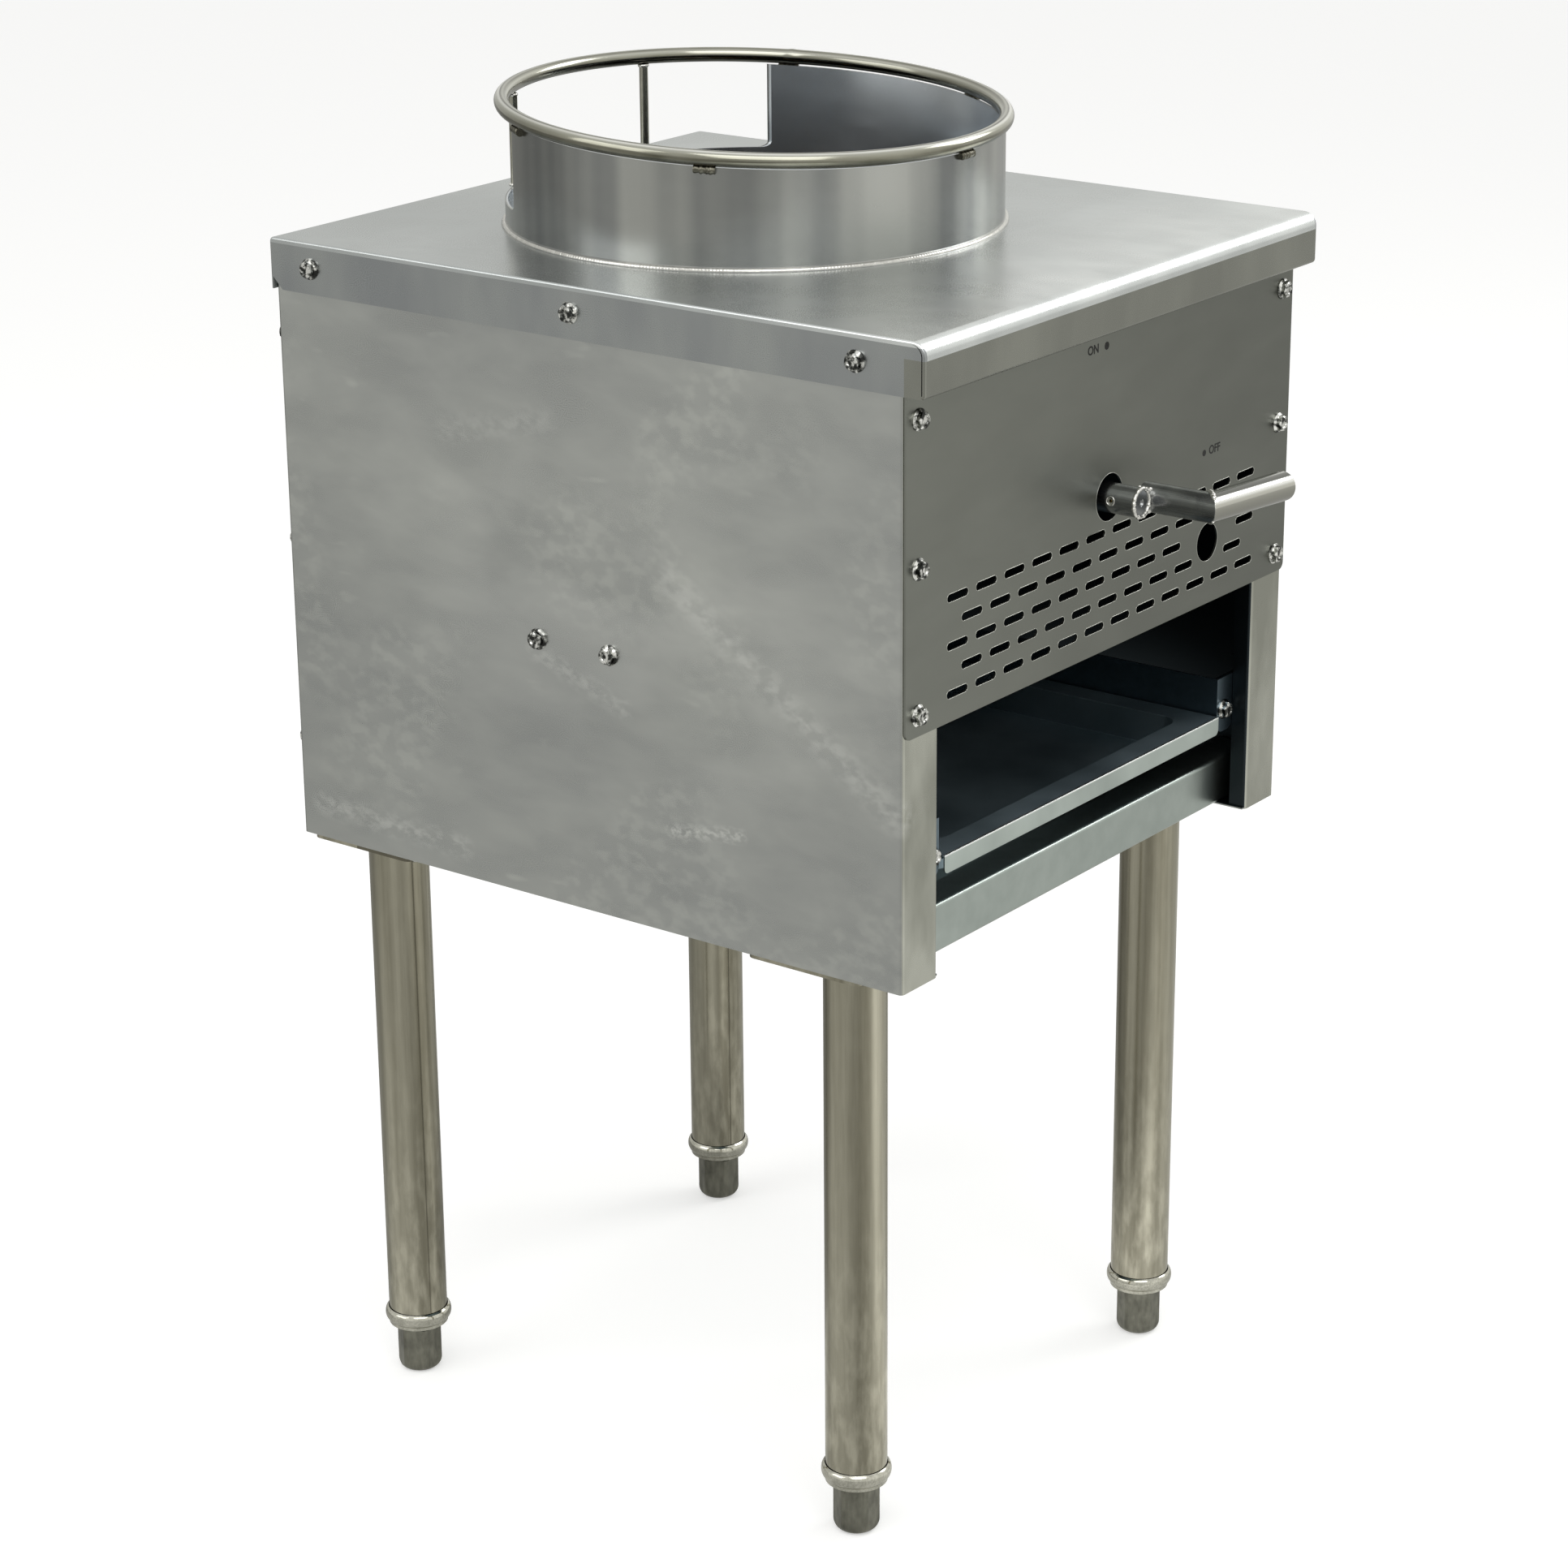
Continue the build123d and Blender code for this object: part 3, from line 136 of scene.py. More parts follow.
camera = in_scene("camera", with_settings(bpy.data.cameras.new("camera"), lens=lens_length,
                                          sensor_width=sensor_width, clip_end=50))
camera.matrix_world = Matrix((
    (right.x, up.x, -forward.x, camera_place.x),
    (right.y, up.y, -forward.y, camera_place.y),
    (right.z, up.z, -forward.z, camera_place.z),
    (0, 0, 0, 1)))
bpy.context.scene.camera = camera
bpy.context.scene.view_settings.view_transform = "Standard"
print("camera at", [round(v, 3) for v in camera_place], "lens", lens_length)


# %% [markdown]
# ## Small helpers for nodes
# A colour is written as the hex value that it should show on screen. One function adds a node and
# fills its sockets. It gives back a wire, and arithmetic on wires adds the nodes that compute it,
# in materials and in geometry trees alike.

# %% Wires
def linear(code):
    """The linear RGBA of an sRGB hex colour such as 'a0a09c'."""
    channels = [int(code[k:k + 2], 16) / 255 for k in (0, 2, 4)]
    return [c / 12.92 if c <= 0.04045 else ((c + 0.055) / 1.055) ** 2.4 for c in channels] + [1]


class Wire:
    """An output of a node; an index gives another output of the same node."""

    def __init__(self, tree, socket):
        self.tree, self.socket = tree, socket

    def __getitem__(self, output):
        return Wire(self.tree, self.socket.node.outputs[output])

    def maths(self, operation, other=0.0):
        return add(self.tree, "Math", {0: self, 1: other}, operation=operation)

    __add__ = partialmethod(maths, "ADD")
    __sub__ = partialmethod(maths, "SUBTRACT")
    __mul__ = partialmethod(maths, "MULTIPLY")
    __truediv__ = partialmethod(maths, "DIVIDE")

    def vector(self, operation, *others):
        """Vector arithmetic; a product, a length and a distance come out as a number."""
        result = add(self.tree, "VectorMath", dict(enumerate((self, *others))), operation=operation)
        return result["Value"] if operation in ("DOT_PRODUCT", "LENGTH", "DISTANCE") else result

    def axis(self, index):
        return add(self.tree, "SeparateXYZ", {0: self})[index]

    def spread(self, low, high, to_low=0.0, to_high=1.0):
        """Moves a value from one range to another, clamped at both ends."""
        return add(self.tree, "MapRange", {"Value": self, "From Min": low, "From Max": high,
                                                     "To Min": to_low, "To Max": to_high})


def fill(tree, node, sockets):
    """Gives sockets of a node a value, a wire or a list of wires."""
    for name, value in sockets.items():
        sources = value if isinstance(value, list) else [value]
        if isinstance(sources[0], Wire):
            for source in sources:
                tree.links.new(source.socket, node.inputs[name])
        else:
            node.inputs[name].default_value = value


def add(tree, kind, sockets=None, **settings):
    """Adds a node with its settings and sockets; returns its first output as a wire.

    A shader node's kind goes without its prefix."""
    node = with_settings(tree.nodes.new(kind if "Node" in kind else "ShaderNode" + kind), **settings)
    fill(tree, node, sockets or {})
    return Wire(tree, node.outputs[0] if node.outputs else None)


# %% [markdown]
# A finish is made of the same few things: noise of a real size, a mix of two tones, a box that
# tells one part of a piece from the rest, and a bump.

# %% What finishes are made of
def new_material(name):
    """An empty material; returns the material and its tree."""
    material = bpy.data.materials.new(name)
    material.use_nodes = True
    tree = material.node_tree
    tree.nodes.clear()
    add(tree, "OutputMaterial", {"Surface": add(tree, "BsdfPrincipled")})
    return material, tree


def shader_of(tree):
    return next(node for node in tree.nodes if node.type == "BSDF_PRINCIPLED")


def painted(tree, colour, gloss=None, normal=None, metallic=1):
    """Gives a tree's shader its colour, roughness and bump, each a value or a wire."""
    sockets = {"Base Color": colour, "Roughness": gloss, "Normal": normal, "Metallic": metallic}
    fill(tree, shader_of(tree), {name: value for name, value in sockets.items() if value is not None})


def mixed(factor, low, high):
    """A colour between two, each a hex code or a wire, led by a factor."""
    tree = next(value.tree for value in (factor, low, high) if isinstance(value, Wire))
    ends = [linear(colour) if isinstance(colour, str) else colour for colour in (low, high)]
    return add(tree, "Mix", {0: factor, 6: ends[0], 7: ends[1]}, data_type="RGBA")[2]


def overlaid(material, mask, colour):
    """Lays a colour over a finish, as far as a mask from 0 to 1 says."""
    base = shader_of(material.node_tree).inputs["Base Color"]
    before = Wire(material.node_tree, base.links[0].from_socket)
    painted(material.node_tree, mixed(mask, before, colour))


def toned_by(value, stops, interpolation="LINEAR"):
    """A colour that follows a value from 0 to 1; each stop pairs a place with a hex code."""
    tone = add(value.tree, "ValToRGB", {"Fac": value})
    ramp = tone.socket.node.color_ramp
    ramp.interpolation = interpolation
    for index, (place, code) in enumerate(stops):
        stop = ramp.elements[index] if index < 2 else ramp.elements.new(place)
        stop.position, stop.color = place, linear(code)
    return tone


def object_place(tree):
    """The place of a point in object space, which is the range's own space."""
    return add(tree, "TexCoord")["Object"]


def grain(tree, size, stretch=(1, 1, 1), detail=3.0, seed=0.0, turn=(0, 0, 0), twist=0.0, place=None):
    """Noise whose blobs are size mm wide; stretch makes them longer along an axis."""
    scaled = add(tree, "Mapping", {
        "Vector": place or object_place(tree), "Location": (seed, seed * 2, seed * 3),
        "Rotation": [math.radians(angle) for angle in turn],
        "Scale": [1 / (size * mm * factor) for factor in stretch]})
    return add(tree, "TexNoise", {"Vector": scaled, "Scale": 1.0, "Detail": detail,
                                            "Distortion": twist})


def bumped(height, depth, below=None):
    """A bump of the given depth in mm, on top of another one if there is one."""
    sockets = {"Height": height, "Distance": depth * mm, "Strength": 1.0}
    if below:
        sockets["Normal"] = below
    return add(height.tree, "Bump", sockets)


def inside_box(tree, low, high):
    """1 inside a box in object space, 0 outside; the corners are in mm."""
    middle = [(a + b) / 2 * mm for a, b in zip(low, high)]
    half = [(b - a) / 2 * mm for a, b in zip(low, high)]
    away = object_place(tree).vector("SUBTRACT", middle).vector("ABSOLUTE").vector("SUBTRACT", half)
    most = away.axis(0).maths("MAXIMUM", away.axis(1)).maths("MAXIMUM", away.axis(2))
    return most.maths("LESS_THAN", 0.0)


# %% [markdown]
# ## Sheet steel
# The real sheet isn't even: it has cloudy patches where it was wiped and polished, fine scratches
# in two directions and a slight waviness between the folds. Noise at the real sizes drives colour,
# gloss and bump together. Heat has dulled the inside, and painted shade darkens its colour: a box in
# object space tells the inner faces from the outer ones. A lean paints one side lighter: painted light.

# %% Stainless sheet
shade_half = side_half - 0.8
shade_low = (-shade_half, front_y + 0.9, body_bottom + 0.9)
shade_high = (shade_half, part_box("back_panel")[1][1] / mm - 0.7, deck_z - 1.2)


def sheet_steel(name, dark, light, rough, wipes=0.4, wipe_size=60, scuffs=0.2, shaded_inside=True, seed=0.0, lean=0.0,
                scratch=0.004):
    """Stainless sheet: broad clouds, soft wiped strokes, scuffed spots, a dull inside darkened with painted
    shade, and a lean of painted light.
    """
    material, tree = new_material(name)

    def marks(size, low, high, step, stretch=(1, 1, 1), detail=1, turn=(0, 0, 0), twist=0.0):
        return grain(tree, size, stretch, detail, seed + step, turn, twist).spread(low, high)

    clouds = marks(210, 0.3, 0.7, 0, detail=1.5)
    # Painted light: a lean makes the sheet lighter towards its left end, at negative x.
    if lean:
        across = object_place(tree).axis(0)
        clouds = clouds * (1 - lean) + across.spread(side_half * mm, -side_half * mm, 0, lean)
    strokes = marks(wipe_size, 0.36, 0.78, 3, (1, 1, 0.4), 3, (24, 0, 0), 0.25)
    spots = marks(9, 0.45, 0.62, 6, (1, 1.5, 1), 2, (40, 0, 0)) * marks(120, 0.5, 0.6, 4)
    rubs = marks(15, 0.64, 0.74, 8, (1, 3.2, 1), 2, (-18, 0, 0)) * marks(90, 0.5, 0.6, 10)
    cross_line = grain(tree, 0.45, (1, 1, 70), 2, seed + 5, (14, 12, 0))
    down_line = grain(tree, 0.45, (50, 50, 1), 2, seed + 7, (8, -20, 0))
    lines = cross_line.maths("MAXIMUM", down_line).spread(0.68, 0.8)
    fine = grain(tree, 0.8, detail=2, seed=seed + 9)
    tone = clouds * (1 - wipes - scuffs) + (strokes * wipes + spots * scuffs) + rubs * (1.4 * scuffs)
    colour = mixed(tone, dark, light)
    gloss = strokes.spread(0, 1, rough * 0.94, rough * 1.08) + lines * (12 * scratch)
    gloss = gloss + fine.spread(0.3, 0.7, -0.012, 0.012)
    # Painted shade: the inside faces are darkened to near black; the added roughness is the heat dulling.
    if shaded_inside:
        inside_shade = inside_box(tree, shade_low, shade_high)
        colour = mixed(inside_shade, colour, mixed(clouds, "1d2225", "383f43"))
        gloss = gloss + inside_shade * 0.12
    waves = bumped(grain(tree, 190, detail=1, seed=seed + 11), 0.35)
    painted(tree, colour, gloss, bumped(fine, 0.002, bumped(lines, scratch, waves)))
    return material


def part_toned(material, low, high, dark, light, patch):
    """Gives the part of a finish inside a box its own pair of tones, in patches; sizes in mm."""
    tree = material.node_tree
    clouds = grain(tree, patch, (1, 1, 2.5), 3, 71).spread(0.35, 0.65)
    overlaid(material, inside_box(tree, low, high), mixed(clouds, dark, light))


def rub_and_sheen(material, start, end, width, strength):
    """A patchy light band along a line between two points (mm): a narrow one is a rub where a hand or a cloth
    went, a wide one a painted sheen.
    """
    tree = material.node_tree
    run = (Vector(end) - Vector(start)) * mm
    from_start = object_place(tree).vector("SUBTRACT", Vector(start) * mm)
    along = from_start.vector("DOT_PRODUCT", run / run.length_squared).spread(0, 1)
    away = from_start.vector("DISTANCE", along.vector("MULTIPLY", run))
    patches = grain(tree, width * 0.45, (1, 1.6, 1), 3, 81, (35, 0, 0)).spread(0.42, 0.6)
    overlaid(material, away.spread(0, width * mm, strength, 0) * patches, "e9eae6")


wide = side_half + 10
lip_front = front_y - 40
flange_low = deck_z - 60
sheet = sheet_steel("stainless_sheet", "a6a8a7", "cbcdc8", 0.29, 0.35, 60, 0.25)
# Painted shade: the front faces of the side sheets get darker tones than the sides.
part_toned(sheet, (-wide, front_y - 5, body_bottom - 5), (wide, front_y + 0.8, deck_z), "9d9e94", "bebfb5", 30)
# The rubs on the left side: (y, z) of both ends, width and strength. The last one, 150 mm wide, is a painted
# pool of light over the middle of the panel.
for start, end, width, strength in (((-59, 650), (-232, 530), 16, 0.4), ((245, 440), (120, 436), 12, 0.4),
                                    ((-58, 486), (-112, 494), 7, 0.6), ((52, 585), (-20, 560), 10, 0.3),
                                    ((120, 720), (40, 738), 14, 0.2), ((70, 640), (-130, 590), 150, 0.22)):
    rub_and_sheen(sheet, (-side_half, *start), (-side_half, *end), width, strength)
# The valve panel is the same steel in darker tones, which are painted shade, with a lean of painted light
# towards its left end.
front_sheet = sheet_steel("valve_panel_sheet", "6f716b", "898b84", 0.36, 0.2, 60, 0.0, seed=4.0, lean=0.7)

# The deck carries a painted sheen in light patches near its front lip, and its flanges and lip get
# darker tones than its top: painted shade.
deck_sheet = sheet_steel("deck_sheet", "b2b6b6", "cdd1d1", 0.28, 0.3, 50, 0.08, seed=9.0, scratch=0.001)
nearer = object_place(deck_sheet.node_tree).axis(1).spread((front_y + 120) * mm, (front_y + 10) * mm, 0, 0.75)
front_sheen = grain(deck_sheet.node_tree, 34, (1, 1.6, 1), 2, 75).spread(0.3, 0.7, 0.5, 1)
overlaid(deck_sheet, nearer * front_sheen, "eef1f0")
for side in (-1, 1):
    inner_x, outer_x = sorted((side * (side_half + 0.2), side * wide))
    part_toned(deck_sheet, (inner_x, lip_front, flange_low), (outer_x, back_y + 10, deck_z - 3.5),
               "999c9e", "a9acab", 60)
part_toned(deck_sheet, (-wide, lip_front, flange_low), (wide, front_y - 2, deck_z - 11),
           "8b8c85", "9a9b93", 60)

# The collar was rolled. The upright light bands round its outside are painted reflections, and its
# inside keeps the pale mill finish.
collar_sheet = sheet_steel("stainless_collar", "787a7b", "868887", 0.25, 0.2, 30, 0.0, False, 13.0,
                           scratch=0.001)
tree = collar_sheet.node_tree
# Painted reflections: light upright bands round the outside.
overlaid(collar_sheet, grain(tree, 42, (1, 1, 30), 2, 15).spread(0.36, 0.64) * 0.8, "b6b7b2")
from_axis = object_place(tree).vector("SUBTRACT", (0, ring_y * mm, 0)).vector("MULTIPLY", (1, 1, 0))
overlaid(collar_sheet, from_axis.vector("LENGTH").maths("LESS_THAN", (collar_radius - 0.9) * mm), "d0d5da")
print("sheet finishes:", [m.name for m in (sheet, front_sheet, deck_sheet, collar_sheet)])


# %% [markdown]
# ## The other metals
# Tubes and bars are drawn or turned, so their marks run along them. Galvanised sheet has a faint
# spangle, and cast iron is rough from its sand mould. One function with a few settings makes them all.

# %% Bars, tubes, castings and screws
def metal(name, dark, light, rough, blotch, depth, fine_size, seed=0.0, streak=(1, 1, 1), stops=None):
    """Metal with blotches in colour and gloss; streak stretches its fine marks along an axis.

    Sizes are in mm. Stops, if given, take the place of the even step from dark to light."""
    material, tree = new_material(name)
    clouds = grain(tree, blotch, detail=4, seed=seed, twist=0.6).spread(0.3, 0.7)
    fine = grain(tree, fine_size, streak, 3, seed + 2)
    tone = clouds * 0.5 + fine.spread(0.3, 0.7) * 0.5
    painted(tree, toned_by(tone, stops) if stops else mixed(tone, dark, light),
            tone.spread(0, 1, rough * 1.15, rough * 0.85), bumped(fine, depth))
    return material


finishes = {name: metal(name, *settings) for name, settings in {
    "lever_steel": ("727476", "aaacac", 0.25, 14, 0.006, 0.5, 0.0, (1, 60, 1)),
    "rod_steel": ("8f8e82", "b5b4a8", 0.22, 9, 0.004, 0.7, 0.0, (1, 1, 30)),
    "grip_steel": ("8f918d", "c6c7c1", 0.12, 18, 0.002, 0.4, 0.0, (60, 1, 1)),
    "bead_steel": ("a3a296", "dcdace", 0.12, 12, 0.004, 1.5),
    "weld_steel": ("b4b3ae", "ecebe6", 0.2, 3, 0.02, 0.6),
    "galvanised_sheet": ("a9b2ad", "bac3be", 0.32, 90, 0.001, 14.0, 21.0),
    "heat_dark_steel": ("3a3836", "5d5650", 0.45, 50, 0.01, 1.0),
    # The screw's stops run from near black to near white in small blotches: painted dark and bright patches
    # that stand in for reflections in the facets.
    "zinc_screw": (None, None, 0.14, 6, 0.002, 3.0, 5.0, (1, 1, 1),
                   ((0.0, "1d1e1d"), (0.4, "3f403e"), (0.52, "8f908c"), (0.66, "e9e9e5"))),
    "cast_iron": ("242322", "383634", 0.62, 12, 0.12, 1.1),
    "black_pipe": ("202020", "353433", 0.45, 20, 0.03, 1.2),
    "brass": ("9a7b3f", "caa864", 0.28, 9, 0.006, 0.7),
    "aluminium_tube": ("a9abad", "cfd1d2", 0.3, 15, 0.004, 0.7),
    "foot_steel": ("5f5f57", "97968a", 0.34, 16, 0.01, 4.0, 0.0, (1, 1, 3)),
    "rail_sheet": ("5c6a73", "73828b", 0.34, 60, 0.002, 9.0, 27.0)}.items()}

# The grip is polished, and the room's reflection on it is painted as lines along the bar: tones by
# the angle round its axis.
lever_right = Vector((math.cos(lever_droop), 0, -math.sin(lever_droop)))
lever_up = Vector((math.sin(lever_droop), 0, math.cos(lever_droop)))
outward = Vector((0, -1, 0))
elbow = Vector((0, front_y - elbow_out, lever_z)) + lever_right * arm_aside
tree = finishes["grip_steel"].node_tree
from_bar = object_place(tree).vector("SUBTRACT", elbow * mm)
angle = from_bar.vector("DOT_PRODUCT", lever_up).maths("ARCTAN2", from_bar.vector("DOT_PRODUCT", outward))
reflection_lines = toned_by(angle / (2 * math.pi) + 0.5, (
    (0.0, "7a7a74"), (0.24, "3b3b36"), (0.34, "4f4f49"), (0.41, "7e7d75"), (0.5, "a6a59c"),
    (0.565, "c4c3ba"), (0.59, "f6f6f2"), (0.63, "f0f0ec"), (0.655, "575854"), (0.71, "5f605c"),
    (0.735, "c9cac5"), (0.76, "696a66"), (0.85, "8b8c88")))
painted(tree, mixed(0.1, reflection_lines, "c6c7c1"))

# The tray is galvanised and bright on its front face. A painted highlight lies along the edge of its
# lip, and painted shade darkens its pan, which is also rougher.
tray_metal, tree = new_material("tray_sheet")
pan = inside_box(tree, (-170, front_y + 11.8, 455), (170, 215, 490))
lip_highlight = inside_box(tree, (-170, front_y + 9.5, 486.4), (170, front_y + 11.6, 488))
clouds = grain(tree, 60, detail=3, seed=31).spread(0.3, 0.7)
painted(tree, mixed(pan, mixed(clouds, "aeb8b3", "cad4cf"), mixed(clouds, "74858d", "8898a0")),
        clouds.spread(0, 1, 0.26, 0.34) + pan * 0.2, bumped(grain(tree, 120, detail=1, seed=33), 0.4))
overlaid(tray_metal, lip_highlight, "f4f8f6")

# %% [markdown]
# ## The leg tubes
# The tubes were polished along their length. Soft upright bands along them are painted reflections;
# they also show a seam where the strip was welded into a tube, and rubbed patches low down where
# they were handled and kicked.
# Each leg carries an attribute: the place of a point measured from its own axis, its seam towards x.

# %% Leg tube finish
leg_steel, tree = new_material("leg_steel")
from_axis = add(tree, "Attribute", attribute_name="from_axis")["Vector"]
bands = grain(tree, 15, (1, 1, 45), 2, 61, place=from_axis).spread(0.32, 0.68)
marks = grain(tree, 2.4, (1, 1, 30), 3, 62, place=from_axis).spread(0.3, 0.7)
handled = grain(tree, 6.5, (1, 1, 3.2), 3, 63, place=from_axis).spread(0.42, 0.66)
low_down = from_axis.axis(2).spread(0.24, 0.07, 0.12, 1.0)
tone = bands * 0.6 + marks * 0.14 + handled * low_down * 0.42
seam = from_axis.axis(0).spread(leg_radius * mm * 0.9980, leg_radius * mm * 0.9994, 0, 0.8)
painted(tree, mixed(seam, mixed(tone, "837f6f", "d0ccba"), "5b574b"), tone.spread(0, 1, 0.25, 0.16),
        bumped(marks, 0.006, bumped(bands, 0.02)))

# %% Finishes by name
finishes.update(stainless_sheet=sheet, stainless_collar=collar_sheet, leg_steel=leg_steel,
                polished_bar=finishes["grip_steel"])
own_finish = {"valve_panel": front_sheet, "top_deck": deck_sheet, "drip_tray": tray_metal,
              "rim_rods": finishes["rod_steel"], "lever_grip": finishes["grip_steel"],
              **{f"{side}_tray_rail": finishes["rail_sheet"] for side in ("left", "right")},
              **{f"foot_{place}": finishes["foot_steel"] for place in leg_places}}
slot_of = {name: node.material_slots[0].material.name.split(".")[0] for name, node in nodes.items()}


def finish_of(node_name):
    """The finish of a CAD node: its own, or that of its slot."""
    return own_finish.get(node_name, finishes[slot_of[node_name]])


for node_name, node in nodes.items():
    for slot in node.material_slots:
        slot.material = finish_of(node_name)
print("finishes in use:", sorted(set(slot_of.values())))


# %% [markdown]
# ## Softened copies of the CAD nodes
# A real folded or cut edge carries a tiny round that catches the light as a fine bright line. Each
# visible CAD node is copied, its triangles joined into whole faces, and its sharp edges get a small
# bevel. The copy stands for the node and rides on the same body.

# %% Helpers for pieces
def body_of(node_name):
    """The body that a CAD node rides on."""
    return nodes[node_name].parent.name.split(":")[1]


def piece(name, mesh, body, material=None, stands_for=()):
    """Makes a mesh a piece of the range, with its body, its finish and the nodes it stands for."""
    thing = in_scene(name, mesh)
    if material:
        mesh.materials.clear()
        mesh.materials.append(material)
    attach(thing, body)
    if stands_for:
        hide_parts(*stands_for)
    return thing


def smooth_by_angle(mesh, angle):
    """Smooth shading that keeps edges sharper than the angle."""
    mesh.polygons.foreach_set("use_smooth", [True] * len(mesh.polygons))
    mesh.set_sharp_from_angle(angle=math.radians(angle))


def mesh_of(name, points, edges=(), faces=()):
    """A mesh from points in mm."""
    mesh = bpy.data.meshes.new(name)
    mesh.from_pydata([Vector(p) * mm for p in points], edges, faces)
    return mesh


def mesh_from(shape, name):
    """A mesh from a bmesh, which is freed."""
    mesh = bpy.data.meshes.new(name)
    shape.to_mesh(mesh)
    shape.free()
    return mesh


def joined(node_name):
    """A bmesh copy of a CAD node with its loose triangles joined into whole faces."""
    shape = bmesh.new()
    shape.from_mesh(nodes[node_name].data)
    bmesh.ops.remove_doubles(shape, verts=shape.verts, dist=0.01 * mm)
    bmesh.ops.dissolve_limit(shape, angle_limit=math.radians(0.4), verts=shape.verts[:], edges=shape.edges[:])
    return shape


def applied(data, *steps):
    """The plain mesh of a mesh or a text after modifiers; a step is a kind with its settings."""
    carrier = in_scene("carrier", data)
    for kind, settings in steps:
        modifier = carrier.modifiers.new(kind, kind)
        for name, value in settings.items():
            if hasattr(modifier, name):
                setattr(modifier, name, value)
            else:
                modifier[name] = value
    graph = bpy.context.evaluated_depsgraph_get()
    result = bpy.data.meshes.new_from_object(carrier.evaluated_get(graph))
    bpy.data.objects.remove(carrier)
    return result


def softened(node_name, width, change=None, cutter=None):
    """Stands for a CAD node with a copy whose sharp edges have a small round.

    change is run on the copy first, and cutter is an object that is cut away from it."""
    shape = joined(node_name)
    if change:
        change(shape)
    mesh = mesh_from(shape, node_name + "_edges")
    smooth_by_angle(mesh, 180)
    steps = [("BOOLEAN", dict(object=cutter, solver="EXACT"))] if cutter else []
    steps.append(("BEVEL", dict(width=width * mm, segments=2, limit_method="ANGLE",
                                angle_limit=math.radians(34))))
    steps.append(("WEIGHTED_NORMAL", dict(keep_sharp=True)))
    return piece(node_name + "_soft", applied(mesh, *steps), body_of(node_name),
                 finish_of(node_name), (node_name,))


# %% Soften what can be seen
edge_widths = {
    "top_deck": 0.35, "left_side_panel": 0.3, "right_side_panel": 0.3, "back_panel": 0.3, "valve_panel": 0.3,
    "front_channel": 0.3, "rear_channel": 0.3, "drip_tray": 0.25, "left_tray_rail": 0.25,
    "right_tray_rail": 0.25, "left_rail_bracket": 0.25, "right_rail_bracket": 0.25, "rim_rods": 0.4,
    "burner_cradle": 0.4, "burner_crossbar": 0.3, "lever_hub": 0.5, "lever_arm": 0.35, "lever_grip": 0.5,
    "valve_body": 1.2, "valve_bonnet": 0.6, "pilot_valve": 0.4, "burner": 1.6, "pipe_elbows": 0.8,
    **{f"leg_{place}": 0.4 for place in leg_places}}
soft = {node_name: softened(node_name, width) for node_name, width in edge_widths.items()}
seam_headings = {"front_left": 40.0, "front_right": 130.0, "back_left": -111.0, "back_right": -114.0}
for place, (leg_x, leg_y) in leg_places.items():
    mesh = soft[f"leg_{place}"].data
    from_axis = mesh.attributes.new("from_axis", "FLOAT_VECTOR", "POINT")
    axis = Vector((leg_x, leg_y, 0)) * mm
    turn_back = Matrix.Rotation(-math.radians(seam_headings[place]), 3, "Z")
    from_axis.data.foreach_set("vector", [c for v in mesh.vertices for c in turn_back @ (v.co - axis)])
print("softened:", len(soft), "faces:", sum(len(thing.data.polygons) for thing in soft.values()))


# %% [markdown]
# ## Sockets and feet
# Each tube ends in a pressed socket: a cone that widens to a bright round bead, with a lip that
# closes in on the tube. The shoulder of the bullet foot below is raised to the socket.

# %% Turned sockets, raised feet
def arc_profile(middle, reach, height, start, end, steps):
    """Points of an elliptic arc in the plane of radius and height."""
    angles = [math.radians(start + (end - start) * k / steps) for k in range(steps + 1)]
    return [(middle[0] + reach * math.cos(a), middle[1] + height * math.sin(a)) for a in angles]


def hoop(name, points, count, sharp):
    """A closed hoop through sections of count points each, in mm, smooth below an angle."""
    sides = len(points) // count
    faces = []
    for k in range(sides):
        a, b = k * count, (k + 1) % sides * count
        faces += [(a + j, b + j, b + (j + 1) % count, a + (j + 1) % count) for j in range(count)]
    mesh = mesh_of(name, points, (), faces)
    smooth_by_angle(mesh, sharp)
    return mesh


def turned(name, profile, place, sides=112):
    """A closed profile of (radius, height) in mm, turned about an upright axis at a place."""
    points = []
    for k in range(sides):
        angle = 2 * math.pi * k / sides
        points += [(place[0] + radius * math.cos(angle), place[1] + radius * math.sin(angle), height)
                   for radius, height in profile]
    return hoop(name, points, len(profile), 40)


foot_top = 34.0
foot_gap = 0.3
cad_foot_top = 27.7
stem_bore = 8.3
tube_seat = 20.95
seat_floor = 37.0
bead_middle, bead_height, bead_reach = 44.4, 4.6, 2.55
socket_profile = [(stem_bore, foot_top), (15.0, foot_top), (15.8, foot_top + 0.4), (21.3, 39.4), (21.8, 40.1)]
socket_profile += arc_profile((tube_seat, bead_middle), bead_reach, bead_height, -58, 74, 14)
socket_profile += [(21.2, 49.2), (tube_seat, 47.8), (tube_seat, seat_floor), (stem_bore, seat_floor)]


def raise_shoulder(shape):
    """Moves the foot's flat shoulder up to the socket."""
    for vertex in shape.verts:
        if abs(vertex.co.z - cad_foot_top * mm) < 0.2 * mm:
            vertex.co.z = (foot_top - foot_gap) * mm


for place, spot in leg_places.items():
    socket = f"socket_{place}"
    mesh = turned(socket + "_turned", socket_profile, spot)
    piece(socket + "_turned", mesh, "frame", finishes["bead_steel"], (socket,))
    softened(f"foot_{place}", 0.8, raise_shoulder)
print("socket faces:", len(mesh.polygons))

# %% [markdown]
# ## The collar
# The collar is a rolled strip, open at the back above a low band. A rounded block sharpens the
# window's lower corners, which are wider in the CAD solid. The upper edge is raised to meet the bar.

